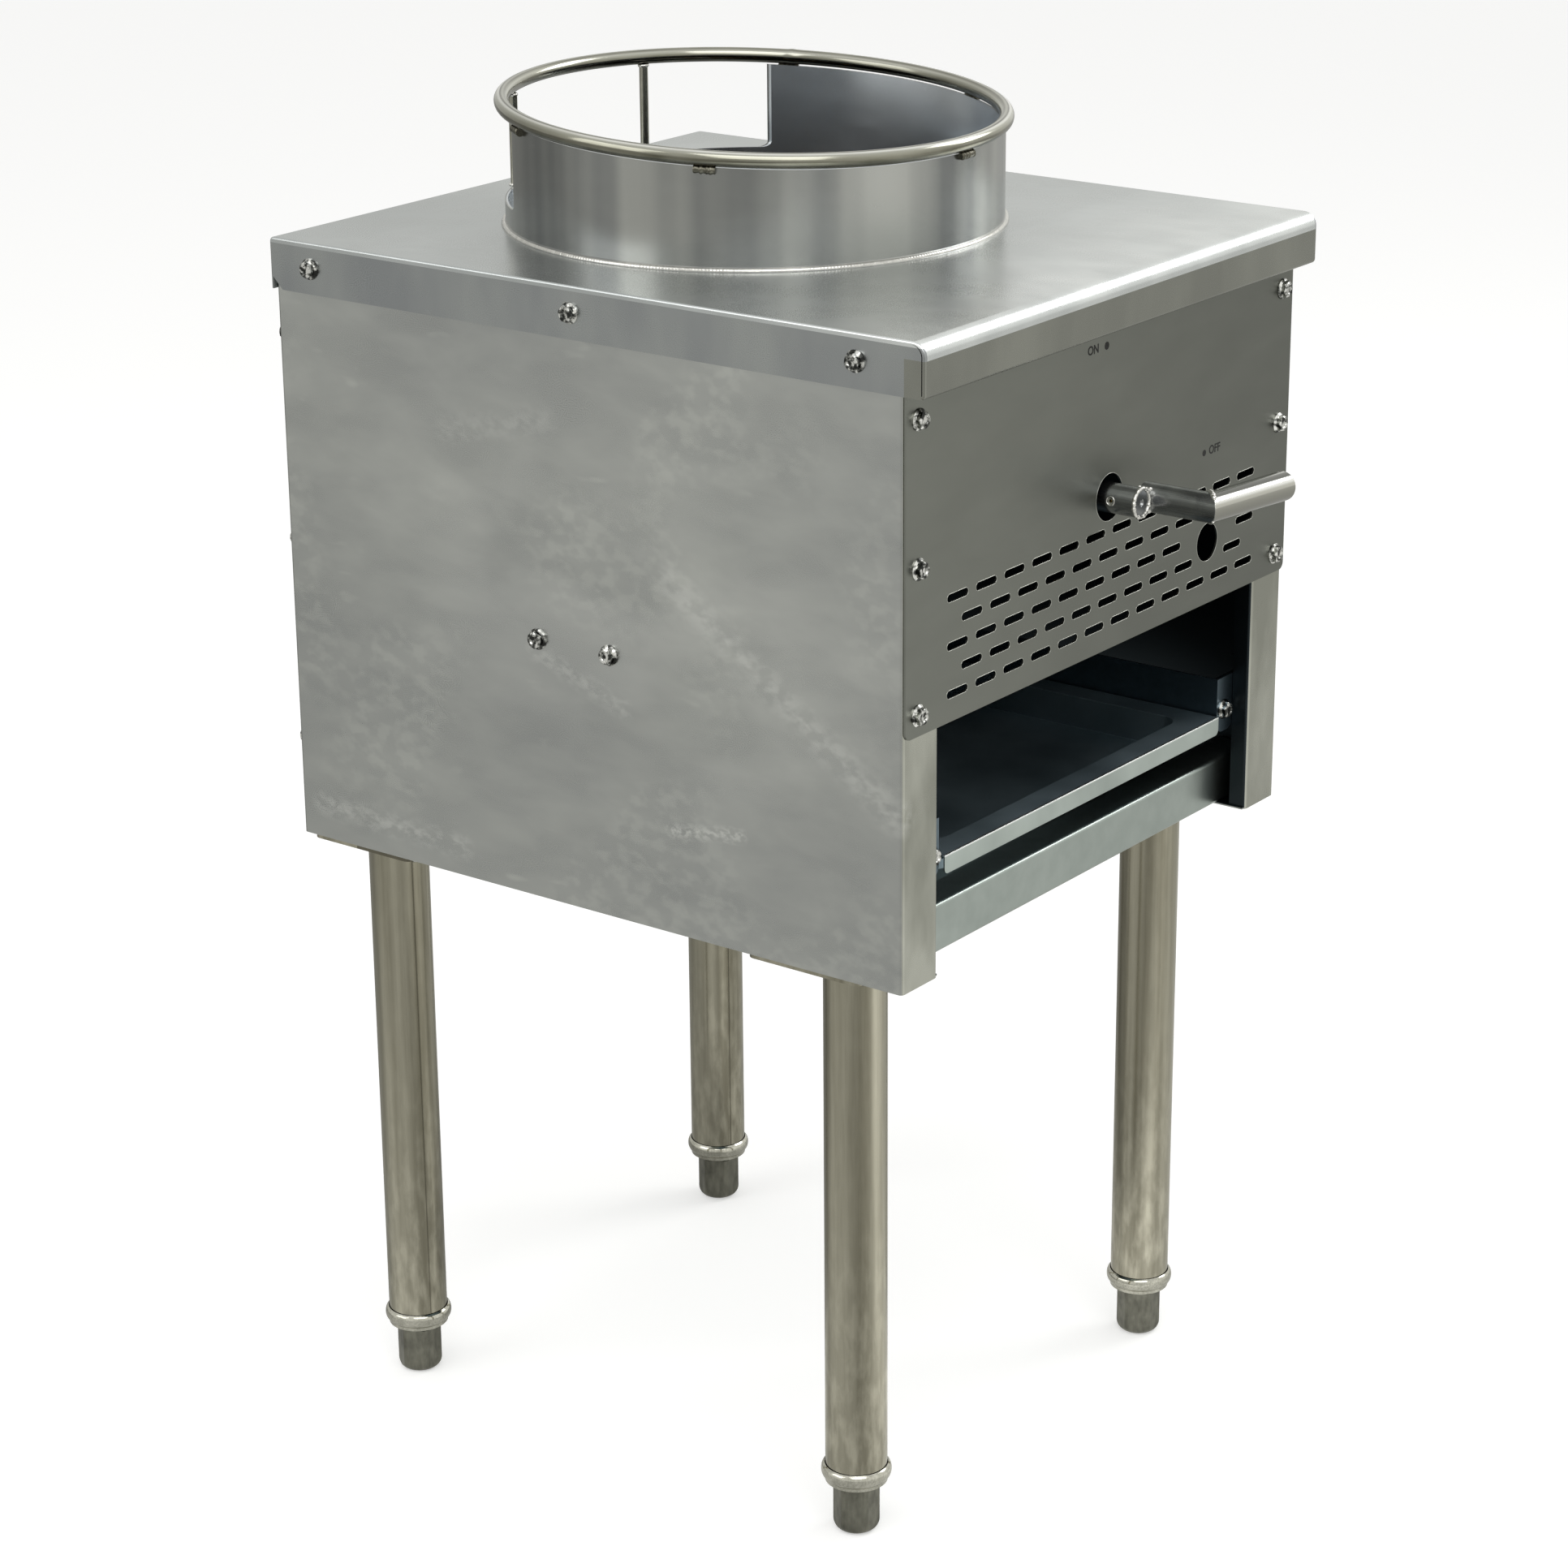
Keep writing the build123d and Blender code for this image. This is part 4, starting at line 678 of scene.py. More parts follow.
# %% Collar with its window
rim_up = Vector((0, -math.sin(rim_tilt), math.cos(rim_tilt)))
rim_middle = Vector((0, ring_y, rim_z))
rim_clear, rim_reach = 2.5, 1.7
window_corner = 4.0
window_side = 136.05 - window_corner
window_floor = deck_z + 16.45 + window_corner
window_top = deck_z + 110
outline = arc_profile((window_side, window_floor), window_corner, window_corner, -90, 0, 6)
outline += [(window_side + window_corner, window_top), (-window_side - window_corner, window_top)]
outline += arc_profile((-window_side, window_floor), window_corner, window_corner, 180, 270, 6)
shape = bmesh.new()
face = shape.faces.new([shape.verts.new(Vector((x, ring_y, z)) * mm) for x, z in outline])
swept = bmesh.ops.extrude_face_region(shape, geom=[face])["geom"]
bmesh.ops.translate(shape, vec=(0, 0.3, 0), verts=[v for v in swept if isinstance(v, bmesh.types.BMVert)])
bmesh.ops.recalc_face_normals(shape, faces=shape.faces)
window_block = in_scene("window_block", mesh_from(shape, "window_block"))


def reach_rim(shape):
    """Brings the collar's upper edge closer to the bar that is welded to it."""
    for vertex in shape.verts:
        below_bar = (vertex.co - rim_middle * mm).dot(rim_up) / mm
        if below_bar > -rim_bar / 2 - rim_clear - 0.3:
            vertex.co.z += rim_reach * mm


collar = softened("wok_collar", 0.3, reach_rim, window_block)
bpy.data.objects.remove(window_block)
print("collar faces:", len(collar.data.polygons))


# %% [markdown]
# ## Geometry trees
# Screws, welds and the rims of the slots repeat one form along a path or on a set of points. A
# geometry tree makes them from a few named sizes and a fixed seed, and the result is a plain mesh.

# %% Helpers for geometry trees
def new_tree(name, **inputs):
    """A geometry tree with inputs listed by kind; returns the tree and the wire of its inputs."""
    tree = bpy.data.node_groups.new(name, "GeometryNodeTree")
    for kind, labels in {"Geometry": ["Geometry"], "Material": ["Material"], **inputs}.items():
        for label in labels:
            tree.interface.new_socket(label, in_out="INPUT", socket_type="NodeSocket" + kind)
    tree.interface.new_socket("Geometry", in_out="OUTPUT", socket_type="NodeSocketGeometry")
    return tree, add(tree, "NodeGroupInput")


def end_tree(geometry, given):
    """Every tree ends with real geometry and its material."""
    real = add(given.tree, "GeometryNodeRealizeInstances", {0: geometry})
    add(given.tree, "NodeGroupOutput", {0: add(given.tree, "GeometryNodeSetMaterial", {
        0: real, "Material": given["Material"]})})


def grown(tree, mesh, values):
    """Runs a tree on a mesh with the given named inputs and returns the plain mesh."""
    inputs = {item.name: item.identifier for item in tree.interface.items_tree if item.in_out == "INPUT"}
    return applied(mesh, ("NODES", {"node_group": tree, **{inputs[name]: values[name] for name in values}}))


def path_mesh(name, runs, closed):
    """A mesh of open or closed lines through runs of points in mm."""
    points, edges = [], []
    for run in runs:
        first = len(points)
        points += run
        edges += [(k, k + 1) for k in range(first, len(points) - 1)]
        if closed:
            edges.append((len(points) - 1, first))
    return mesh_of(name, points, edges)


def facing_points(name, places):
    """A mesh of points that each carry the direction they face; places are (point in mm, facing)."""
    mesh = mesh_of(name, [p for p, way in places])
    ways = mesh.attributes.new("facing", "FLOAT_VECTOR", "POINT")
    ways.data.foreach_set("vector", [c for p, way in places for c in way])
    return mesh


# %% [markdown]
# ## Weld beads
# A weld is a row of overlapping drops. The tree follows a line, makes it thicker and thinner once
# for each drop and a little at random, and sweeps a round section along it.

# %% Weld tree
weld_tree, given = new_tree("weld_bead", Float=["Bead Radius", "Drop Pitch", "Drop Depth", "Raggedness",
                                                "Seed"])
drop_pitch = given["Drop Pitch"]
line = add(weld_tree, "GeometryNodeMeshToCurve", {0: given["Geometry"]})
line = add(weld_tree, "GeometryNodeResampleCurve", {0: line, "Length": drop_pitch / 6.0}, mode="LENGTH")
turns = add(weld_tree, "GeometryNodeSplineParameter")["Length"] / drop_pitch * math.pi
drops = turns.maths("SINE").maths("ABSOLUTE") * given["Drop Depth"]
spot = add(weld_tree, "GeometryNodeInputPosition")
rough = add(weld_tree, "TexNoise", {"Vector": spot, "W": given["Seed"], "Scale": 350.0, "Detail": 2.0},
            noise_dimensions="4D")
swell = drops + 1.0 + (rough - 0.5) * given["Raggedness"]
section = add(weld_tree, "GeometryNodeCurvePrimitiveCircle", {"Resolution": 10,
                                                              "Radius": given["Bead Radius"]})
end_tree(add(weld_tree, "GeometryNodeCurveToMesh", {"Curve": line, "Profile Curve": section, "Scale": swell,
                                                    "Fill Caps": True}), given)


def weld(name, runs, radius, body="frame", closed=True, pitch=3.0, depth=0.22, ragged=0.5, seed=1.0,
         material=finishes["weld_steel"], stands_for=()):
    """A weld bead along one or more lines; sizes in mm."""
    mesh = grown(weld_tree, path_mesh(name + "_line", runs, closed), {
        "Bead Radius": radius * mm, "Drop Pitch": pitch * mm, "Drop Depth": depth, "Raggedness": ragged,
        "Seed": seed, "Material": material})
    smooth_by_angle(mesh, 60)
    return piece(name, mesh, body, None, stands_for)


def circle(middle, radius, first=(1, 0, 0), second=(0, 1, 0), steps=90, start=0.0, end=360.0):
    """Points of a circle or an arc in the plane of two directions."""
    count = steps if end - start >= 360 else steps + 1
    angles = [math.radians(start + (end - start) * k / steps) for k in range(count)]
    return [Vector(middle) + radius * (math.cos(a) * Vector(first) + math.sin(a) * Vector(second))
            for a in angles]


# %% [markdown]
# The collar is welded to the deck all round, in a thin bright ragged line, and each leg to its plate.

# %% Welds of the collar and the legs
weld("collar_bead", [circle((0, ring_y, deck_z + 0.5), collar_radius + 0.5, steps=240)], 2.0, pitch=2.2,
     depth=0.05, ragged=0.14)
for place, (leg_x, leg_y) in leg_places.items():
    weld(f"leg_bead_{place}", [circle((leg_x, leg_y, leg_top - 0.6), leg_radius + 0.4, steps=72)], 1.8,
         pitch=2.4, seed=2.0)
print("weld tree nodes:", len(weld_tree.nodes))

# %% [markdown]
# The lever is welded together from three lengths of tube. A ragged bright ring closes the hub, two
# beads fill the valleys between hub and arm, and a ring of small drops joins the grip to the arm.
# Each of the two rods is welded to the rim and to the collar.

# %% Welds of the lever and the rods
hub_face = Vector((0, front_y - hub_out, lever_z))
mitre_up = lever_right - outward
weld("hub_ring_weld", [circle(hub_face, lever_radius - 0.5, lever_right, lever_up, 64)], 1.15, "gas_lever",
     depth=0.3, ragged=1.3, seed=4.0)
valleys = []
for side in (-1, 1):
    start = hub_face + lever_right * arm_aside / 2 + lever_up * side * 5.2
    valleys.append([start + outward * 0.8, start - outward * lever_lap])
weld("hub_valley_weld", valleys, 2.7, "gas_lever", False, pitch=2.6, depth=0.3, ragged=1.0, seed=5.0,
     stands_for=("lever_weld",))
weld("elbow_ring_weld", [circle(elbow, lever_radius - 0.1, lever_up, mitre_up, 72, -45, 225)], 0.55,
     "gas_lever", False, pitch=2.0, depth=0.4, ragged=0.8, seed=6.0)
weld("elbow_top_weld", [circle(elbow, lever_radius, lever_up, mitre_up, 30, -42, 60)], 1.15,
     "gas_lever", False, pitch=2.8, depth=0.5, ragged=1.2, seed=7.0)
rod_circle, rod_heading, rod_foot, rod_weld_radius = 163.9, 25, deck_z + 16.5, 2.7
for side, place in ((-1, "left"), (1, "right")):
    angle = math.radians(90 - side * rod_heading)
    rod_x, rod_y = rod_circle * math.cos(angle), rod_circle * math.sin(angle)
    rod_top = rim_z + rod_y * math.tan(rim_tilt) - rim_bar / 2
    joints = [circle((rod_x, ring_y + rod_y, z), rod_weld_radius, steps=24)
              for z in (rod_top - 0.6, rod_foot + 0.6)]
    weld(f"rod_weld_{place}", joints, 1.1, pitch=2.0, ragged=0.8, seed=8.0 + side)
tapped_hole = hub_face - outward * 17.1 - lever_right * (lever_radius - 0.15)
weld("set_screw_edge", [circle(tapped_hole, 2.9, outward, lever_up, 24)], 0.4, "gas_lever",
     pitch=2.0, depth=0.1, ragged=0.5, seed=9.0)
print("lever welds on", body_of("lever_hub"))

# %% [markdown]
# ## The rim
# The wok rests on a bar of 10 mm that is rolled into a ring and swells slightly at its butt weld.
# Its UV runs along the bar, so that the polish marks follow the ring, and its colour carries painted
# reflections: light and dark lines, with a painted highlight, by the angle round the bar.

# %% Rim ring
rim_along = Vector((0, math.cos(rim_tilt), math.sin(rim_tilt)))
rim_steps, bar_steps = 320, 24
weld_angle, weld_spread, weld_swelling = 28.0, 0.9, 0.4
rim_points = []
for k in range(rim_steps):
    around = 360 * k / rim_steps
    reach = rim_bar / 2 + weld_swelling * math.exp(-((around - weld_angle) / weld_spread) ** 2)
    out = math.cos(math.radians(around)) * Vector((1, 0, 0)) + math.sin(math.radians(around)) * rim_along
    for angle in [2 * math.pi * j / bar_steps for j in range(bar_steps)]:
        rim_points.append(rim_middle + out * (rim_radius + reach * math.cos(angle))
                          + rim_up * reach * math.sin(angle))
rim_mesh = hoop("rim_bar", rim_points, bar_steps, 180)
rim_uv = rim_mesh.uv_layers.new(name="along_bar")
for face_index in range(len(rim_mesh.polygons)):
    k, j = divmod(face_index, bar_steps)
    for corner, (u, v) in enumerate(((k, j), (k + 1, j), (k + 1, j + 1), (k, j + 1))):
        rim_uv.data[4 * face_index + corner].uv = (u / rim_steps, v / bar_steps)

rim_steel, tree = new_material("polished_bar")
along_bar = add(tree, "UVMap", uv_map="along_bar")
long_marks = add(tree, "Mapping", {"Vector": along_bar, "Scale": (30, 10, 1)})
marks = add(tree, "TexNoise", {"Vector": long_marks, "Scale": 1.0, "Detail": 4.0})
tone = marks * 0.6 + grain(tree, 25, detail=3, seed=41) * 0.4
reflection_lines = toned_by(along_bar.axis(1), (
    (0.0, "6f6d60"), (0.07, "8f8e81"), (0.13, "b4b4a9"), (0.165, "f0f0ea"), (0.19, "ecece6"),
    (0.215, "45443b"), (0.262, "bcbcb1"), (0.31, "6f6e63"), (0.38, "c4c4b9"), (0.46, "77766a"),
    (0.56, "4f4e45"), (0.7, "302f29"), (0.82, "39372f"), (0.86, "77756a"), (0.9, "45433a"), (0.96, "666456")))
painted(tree, mixed(tone.spread(0.35, 0.65, 0, 0.35), reflection_lines, "b9b8ac"),
        tone.spread(0.35, 0.65, 0.2, 0.11), bumped(marks, 0.01))
piece("rim_bar", rim_mesh, "frame", rim_steel, ("rim_ring",))

# Short welded lugs hold the bar to the collar: a small drop of metal under the bar at each one.
lug_circle, lug_half, lug_drop = collar_radius + 1.6, 2.4, 2.1
lugs = []
for heading in (-89.0, -24.5, 29.0, 151.0, 206.5):
    lug_run = []
    for step in (-1, -0.5, 0, 0.5, 1):
        angle = math.radians(heading + step * lug_half)
        lug_x, lug_y = lug_circle * math.cos(angle), lug_circle * math.sin(angle)
        under_bar = rim_z + lug_y * math.tan(rim_tilt) - rim_bar / 2 - lug_drop
        lug_run.append((lug_x, ring_y + lug_y, under_bar))
    lugs.append(lug_run)
lug_steel = metal("lug_weld", "4a483f", "7b796d", 0.3, 4, 0.02, 0.8)
weld("rim_lug_welds", lugs, 2.2, closed=False, pitch=3.2, depth=0.25, ragged=1.0, seed=10.0,
     material=lug_steel, stands_for=("rim_lugs",))
print("rim faces:", len(rim_mesh.polygons))


# %% [markdown]
# ## Screws
# The body is held by hexagon screws with a flange and a dished top, each turned its own way. The
# tree cuts a hexagon with a cone for the chamfer, sinks the dish, adds the flange and a threaded
# shank, and sets one on each point. The points come from the CAD nodes.

# %% Screw tree
def frustum(low_radius, high_radius, height, base, sides=40):
    """A cone with a flat top that stands on a given height."""
    tree = low_radius.tree
    cone = add(tree, "GeometryNodeMeshCone", {"Vertices": sides, "Radius Bottom": low_radius,
                                              "Radius Top": high_radius, "Depth": height})
    offset = add(tree, "CombineXYZ", {"Z": base})
    return add(tree, "GeometryNodeTransform", {"Geometry": cone, "Translation": offset})


def overlap(*forms):
    """What all forms have in common."""
    return add(forms[0].tree, "GeometryNodeMeshBoolean", {"Mesh 2": list(forms)}, operation="INTERSECT",
               solver="EXACT")


def cut(form, tool):
    """A form without what the tool takes away."""
    return add(form.tree, "GeometryNodeMeshBoolean", {"Mesh 1": form, "Mesh 2": tool}, operation="DIFFERENCE",
               solver="EXACT")


def joint(*forms):
    return add(forms[0].tree, "GeometryNodeJoinGeometry", {0: list(forms)})


def set_on_points(form, given):
    """Ends a tree with its form on each point, facing the point's way at a seeded random turn."""
    tree = form.tree
    facing = add(tree, "GeometryNodeInputNamedAttribute", {"Name": "facing"}, data_type="FLOAT_VECTOR")
    aimed = add(tree, "FunctionNodeAlignRotationToVector", {"Vector": facing}, axis="Z")
    spin = add(tree, "FunctionNodeRandomValue", {2: 0.0, 3: math.radians(60), "Seed": given["Seed"]},
               data_type="FLOAT")[1]
    spun = add(tree, "FunctionNodeAxisAngleToRotation", {"Axis": (0, 0, 1), "Angle": spin})
    posed = add(tree, "FunctionNodeRotateRotation", {"Rotation": aimed, "Rotate By": spun},
                rotation_space="LOCAL")
    end_tree(add(tree, "GeometryNodeInstanceOnPoints", {"Points": given["Geometry"], "Instance": form,
                                                        "Rotation": posed}), given)


corner_to_flats = 0.57735
screw_tree, given = new_tree("flange_screw", Int=["Thread Turns", "Seed"], Float=[
    "Across Flats", "Head Height", "Flange Radius", "Flange Height", "Shank Radius", "Thread Pitch"])
flats, head = given["Across Flats"], given["Head Height"]
flange, flange_height = given["Flange Radius"], given["Flange Height"]
crest_radius, pitch = given["Shank Radius"], given["Thread Pitch"]
corner = flats * corner_to_flats
prism = frustum(corner, corner, head - flange_height, flange_height, 6)
hexagon = overlap(prism, frustum(flats * 1.05, flats * 0.44, head, 0.0, 48))
dish_depth = head * 0.14
dished = cut(hexagon, frustum(flats * 0.24, flats * 0.36, dish_depth * 2.0, head - dish_depth, 32))
edge_height = flange_height * 0.55
washer = frustum(flange, flange, edge_height, 0.0)
slope = frustum(flange, flats * 0.56, flange_height, edge_height)
root_radius, half_turn = crest_radius * 0.86, pitch * 0.5
crest = joint(frustum(root_radius, crest_radius, half_turn, 0.0, 20),
              frustum(crest_radius, root_radius, half_turn, half_turn, 20))
down = add(screw_tree, "CombineXYZ", {"Z": pitch * -1.0})
turns = add(screw_tree, "GeometryNodeMeshLine", {"Count": given["Thread Turns"], "Start Location": down,
                                                 "Offset": down})
thread = add(screw_tree, "GeometryNodeInstanceOnPoints", {"Points": turns, "Instance": crest})
set_on_points(joint(dished, washer, slope, thread), given)
print("screw tree nodes:", len(screw_tree.nodes))


# %% Where the screws sit
def islands(node_name):
    """The boxes of a node's separate solids, in mm."""
    shape = joined(node_name)
    left, boxes = set(shape.verts), []
    while left:
        group, edge = set(), {left.pop()}
        while edge:
            group |= edge
            edge = {e.other_vert(v) for v in edge for e in v.link_edges} & left
            left -= edge
        boxes.append([Vector([pick(v.co[axis] for v in group) for axis in range(3)]) / mm
                      for pick in (min, max)])
    shape.free()
    return sorted(boxes, key=lambda box: tuple(round(c, 1) for c in box[0]))


def fasteners(tree, node_name, places, sizes, **counts):
    """Replaces a node's plain screws or nuts with grown ones; sizes in mm."""
    values = {label: size * mm for label, size in sizes.items()}
    values.update(counts, Material=finishes["zinc_screw"])
    mesh = grown(tree, facing_points(node_name + "_points", places), values)
    smooth_by_angle(mesh, 28)
    piece(node_name + "_hex", mesh, body_of(node_name), None, (node_name,))
    print(node_name, len(places), "of", {label: round(size, 2) for label, size in sizes.items()})


def screws(node_name, axis, turns, seed, flats=10.0, head=5.0, flange=7.0, shank=3.0, pitch=1.0):
    """Screws along an axis, which face away from the range's middle or, if upright, the floor."""
    places = []
    for low, high in islands(node_name):
        middle = (low + high) / 2
        way = Vector((0, 0, 0))
        way[axis] = -1 if axis == 2 or middle[axis] < 0 else 1
        places.append((middle + way * ((high - middle)[axis] - head), way))
    sizes = {"Across Flats": flats, "Head Height": head, "Flange Radius": flange, "Flange Height": 1.2,
             "Shank Radius": shank, "Thread Pitch": pitch}
    fasteners(screw_tree, node_name, places, sizes, **{"Thread Turns": turns, "Seed": seed})


screws("valve_panel_screws", 1, 8, 3)
screws("back_panel_screws", 1, 8, 5)
screws("deck_bolts", 0, 10, 7)
screws("side_bolts", 0, 10, 9)
screws("leg_plate_bolts", 2, 11, 11, flats=13.0, flange=8.5, shank=4.0, pitch=1.25)
screws("rail_bolts", 1, 6, 13)

# %% [markdown]
# ## Nuts
# Behind each sheet a plain nut holds the screw. A second tree cuts both chamfers of a hexagon with
# cones and drills it. The smallest side of a CAD nut's box tells which way its thread runs.

# %% Nut tree
nut_tree, given = new_tree("plain_nut", Int=["Seed"], Float=["Across Flats", "Height", "Bore Radius"])
flats, height, bore = given["Across Flats"], given["Height"], given["Bore Radius"]
corner, face_round = flats * corner_to_flats, flats * 0.49
wide_round = face_round + height * 1.2
blank = overlap(frustum(corner, corner, height, 0.0, 6), frustum(face_round, wide_round, height, 0.0),
                frustum(wide_round, face_round, height, 0.0))
set_on_points(cut(blank, frustum(bore, bore, height * 2.0, height * -0.5, 24)), given)


def nuts(node_name, bore_radius, seed):
    """Nuts as wide and as high as the CAD nuts they replace."""
    places = []
    for low, high in islands(node_name):
        size = high - low
        axis = min(range(3), key=lambda k: size[k])
        way = Vector([1.0 if k == axis else 0.0 for k in range(3)])
        places.append(((low + high) / 2 - way * size[axis] / 2, way))
    sizes = {"Across Flats": min(size[k] for k in range(3) if k != axis), "Height": size[axis],
             "Bore Radius": bore_radius}
    fasteners(nut_tree, node_name, places, sizes, Seed=seed)


nuts("body_nuts", 3.1, 17)
nuts("leg_plate_nuts", 4.1, 19)


# %% [markdown]
# ## Threads
# The inlet pipe ends in a thread behind the back panel, and each foot stands on an M16 stem. One
# screw line for each, swept with the tree of the welds but without drops, gives the crests.

# %% Inlet and foot threads
def screw_line(start, radius, along, pitch, turns, steps=28):
    """Points of a right-hand screw line round an axis from a start."""
    first = Vector((1, 0, 0))
    second = Vector(along).cross(first)
    points = []
    for k in range(turns * steps + 1):
        angle = 2 * math.pi * k / steps
        points.append(Vector(start) + Vector(along) * pitch * k / steps
                      + radius * (math.cos(angle) * first + math.sin(angle) * second))
    return points


inlet_x = -145.0
inlet_line = screw_line((inlet_x, back_y + 26.0, lever_z), 12.95, (0, 1, 0), 1.8, 10)
weld("inlet_thread", [inlet_line], 0.45, closed=False, depth=0.0, ragged=0.0,
     material=finishes["black_pipe"])
for place, (leg_x, leg_y) in leg_places.items():
    stem_line = screw_line((leg_x, leg_y, foot_top + 0.4), 7.8, (0, 0, 1), 2.0, 11)
    weld(f"foot_{place}_thread", [stem_line], 0.42, f"foot_{place}", False, depth=0.0, ragged=0.0,
         material=finishes["foot_steel"])
print("points of a foot's thread:", len(stem_line))

# %% [markdown]
# ## Marks on the valve panel
# Two small dots and the words ON and OFF are printed on the front, where the lever points when the
# gas is on and where it rests. They are plates of ink, thin as a few hundredths of a millimetre.

# %% Printed marks
ink, tree = new_material("printed_ink")
worn = grain(tree, 0.9, detail=4, seed=51).spread(0.35, 0.6)
painted(tree, mixed(worn, "2c2c2a", "141413"), 0.8, metallic=0)
ink_depth = 0.04


def on_panel(name, mesh, x, z):
    """Stands a flat mark up on the valve panel, with its origin at x and z."""
    upright = Matrix.Rotation(math.radians(90), 4, "X")
    mesh.transform(Matrix.Translation(Vector((x, panel_y - ink_depth, z)) * mm) @ upright)
    piece(name, mesh, "frame", ink)


def printed(name, words, x, z, size=8.0, boldness=0.16):
    """A word, its lower left corner at x and z."""
    on_panel(name, applied(with_settings(bpy.data.curves.new(name, "FONT"), body=words, size=size * mm,
                                         extrude=ink_depth * mm, offset=boldness * mm)), x, z)


def dot(name, x, z, radius):
    """A round printed dot."""
    shape = bmesh.new()
    bmesh.ops.create_circle(shape, cap_ends=True, segments=32, radius=radius * mm)
    on_panel(name, mesh_from(shape, name), x, z)


printed("mark_on", "ON", -28.5, 779.2)
printed("mark_off", "OFF", 121.0, 683.6)
dot("dot_on", -6.5, 781.5, 2.6)
dot("dot_off", 115.0, 685.8, 2.2)

# %% [markdown]
# ## Rims of the slots and holes
# The punch leaves a fine rim round each hole, which is what makes the rows of slots read from a
# distance; its bright colour is a painted highlight.

# %% Slot rims
slot_length, slot_width = 22.5, 5.2
slot_pitch, slot_row_pitch = 30.75, 15.3
slot_columns, slot_rows = 12, 5
slot_top = deck_z - 168.2
slot_clear = 4.0
lighting_x, lighting_z, lighting_radius = 121.8, 623.7, 13.0
lever_hole_radius = 15.5
rim_line = 0.24


def hole_rim(x, z, radius, sink, steps=64, start=0.0, end=360.0):
    """Points round a hole of the valve panel, sunk a little into it."""
    return circle((x, panel_y + sink, z), radius + rim_line / 2, (1, 0, 0), (0, 0, 1), steps, start, end)


runs = []
for row in range(slot_rows):
    z = slot_top - row * slot_row_pitch
    columns = slot_columns - row % 2
    for column in range(columns):
        x = (column - (columns - 1) / 2) * slot_pitch
        beside = max(abs(x - lighting_x) - slot_length / 2, 0)
        above_hole = max(abs(z - lighting_z) - slot_width / 2, 0)
        if math.hypot(beside, above_hole) >= lighting_radius + slot_clear:
            half = (slot_length - slot_width) / 2
            turn = hole_rim(x + half, z, slot_width / 2, rim_line * 0.3, 12, -90, 90)
            back = hole_rim(x - half, z, slot_width / 2, rim_line * 0.3, 12, 90, 270)
            runs.append(turn + back)
print("slots with rims:", len(runs))
runs.append(hole_rim(0, lever_z, lever_hole_radius, 0.1))
runs.append(hole_rim(lighting_x, lighting_z, lighting_radius, 0.1))
rim_highlight_finish = metal("punched_rim", "9d9e97", "b9bab3", 0.28, 8, 0.001, 0.6)
weld("slot_rims", runs, rim_line, depth=0.0, ragged=0.2, material=rim_highlight_finish)


# %% [markdown]
# ## The studio
# The range stands on a plain pale floor in front of white. Polished steel mirrors its room, so in
# reflections the floor and the world are pale tones with soft changes by heading, in degrees from
# the range's right-hand side towards its back.

# %% Tones by heading
def tone_by_heading(direction, tones):
    """A pale grey that changes softly with the heading of a direction; tones are (degrees, level)."""
    angle = direction.axis(1).maths("ARCTAN2", direction.axis(0))
    stops = [((degrees + 180) / 360, f"{level:02x}{level:02x}{level - 4:02x}") for degrees, level in tones]
    return toned_by(angle.spread(-math.pi, math.pi), stops, "EASE")


def by_ray(kind, other, chosen):
    """One shader for a kind of ray and another one for the rest."""
    rays = add(other.tree, "LightPath")
    return add(other.tree, "MixShader", {0: rays[kind], 1: other, 2: chosen})


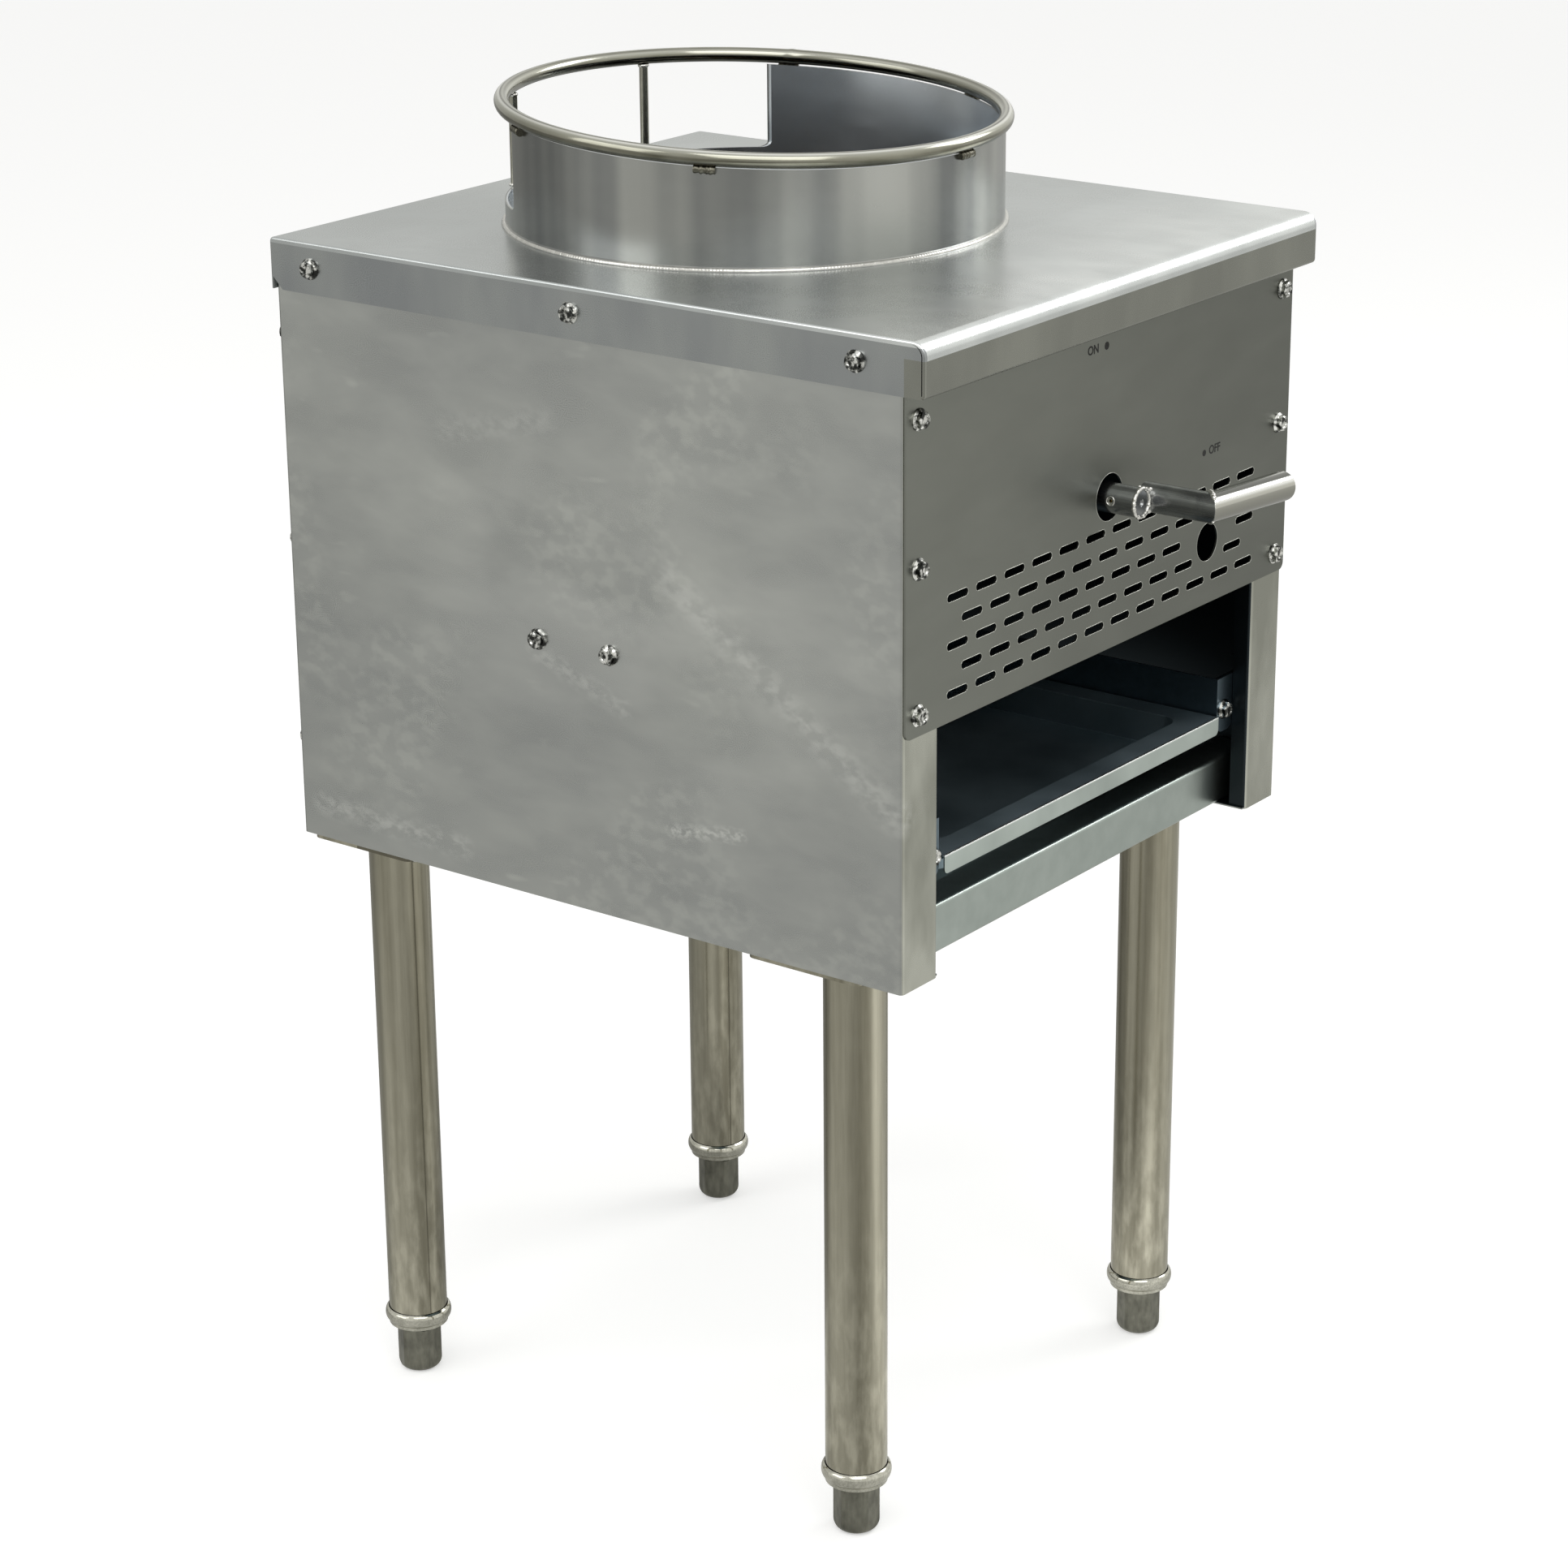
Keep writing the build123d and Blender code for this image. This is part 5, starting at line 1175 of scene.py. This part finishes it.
floor_tones = ((-180, 198), (-143, 190), (-110, 222), (-83, 252), (-60, 230), (-37, 203), (0, 206), (37, 178),
               (70, 149), (110, 160), (143, 204), (180, 198))
wall_tones = ((-180, 230), (-143, 226), (-83, 254), (-37, 240), (10, 246), (28, 238), (37, 226), (45, 218),
              (60, 206), (90, 204), (143, 230), (180, 230))
white = linear("ffffff")
print("tones:", len(floor_tones), "on the floor,", len(wall_tones), "on the walls")

# %% Floor
floor_half = 12000
floor = in_scene("floor", mesh_of("floor", [(x * floor_half, y * floor_half, 0) for x, y in (
    (-1, -1), (1, -1), (1, 1), (-1, 1))], (), [(0, 1, 2, 3)]))
floor_material, tree = new_material("pale_floor")
painted(tree, linear("e6e6e4"), 0.9, metallic=0)
matt = Wire(tree, shader_of(tree).outputs[0])
mirror = add(tree, "Emission", {"Color": tone_by_heading(object_place(tree), floor_tones), "Strength": 1.0})
lift = add(tree, "Emission", {"Color": white, "Strength": 0.42})
shown = by_ray("Is Camera Ray", matt, add(tree, "AddShader", {0: matt, 1: lift}))
output = next(node for node in tree.nodes if node.type == "OUTPUT_MATERIAL")
fill(tree, output, {"Surface": by_ray("Is Glossy Ray", shown, mirror)})
floor.data.materials.append(floor_material)

# %% World and lamps
world = bpy.data.worlds.new("studio")
bpy.context.scene.world = world
world.use_nodes = True
sky = world.node_tree
sky.nodes.clear()
way = add(sky, "TexCoord")["Generated"]
room = mixed(way.axis(2).spread(0.5, 0.85), tone_by_heading(way, wall_tones), "ececea")
plain, mirrored, blank = (add(sky, "Background", {"Color": colour, "Strength": strength})
                          for colour, strength in ((white, 0.6), (room, 1.0), (white, 1.0)))
seen = by_ray("Is Camera Ray", by_ray("Is Glossy Ray", plain, mirrored), blank)
add(sky, "OutputWorld", {"Surface": by_ray("Is Transmission Ray", seen, blank)})


def lamp(name, place, aim, size, power):
    """A square soft box that points at a place on the range."""
    turn = (Vector(aim) - Vector(place)).to_track_quat("-Z", "Y").to_euler()
    data = with_settings(bpy.data.lights.new(name, "AREA"), size=size, energy=power)
    with_settings(in_scene(name, data), location=place, rotation_euler=turn)


lamp("key", (-1.6, -1.6, 3.0), (0, 0, 0.6), 2.6, 38)
lamp("fill", (-2.6, 1.4, 2.2), (0, 0, 0.6), 2.2, 22)
lamp("nose", (2.4, -1.15, 2.45), (0, -0.25, 0.82), 1.4, 24)
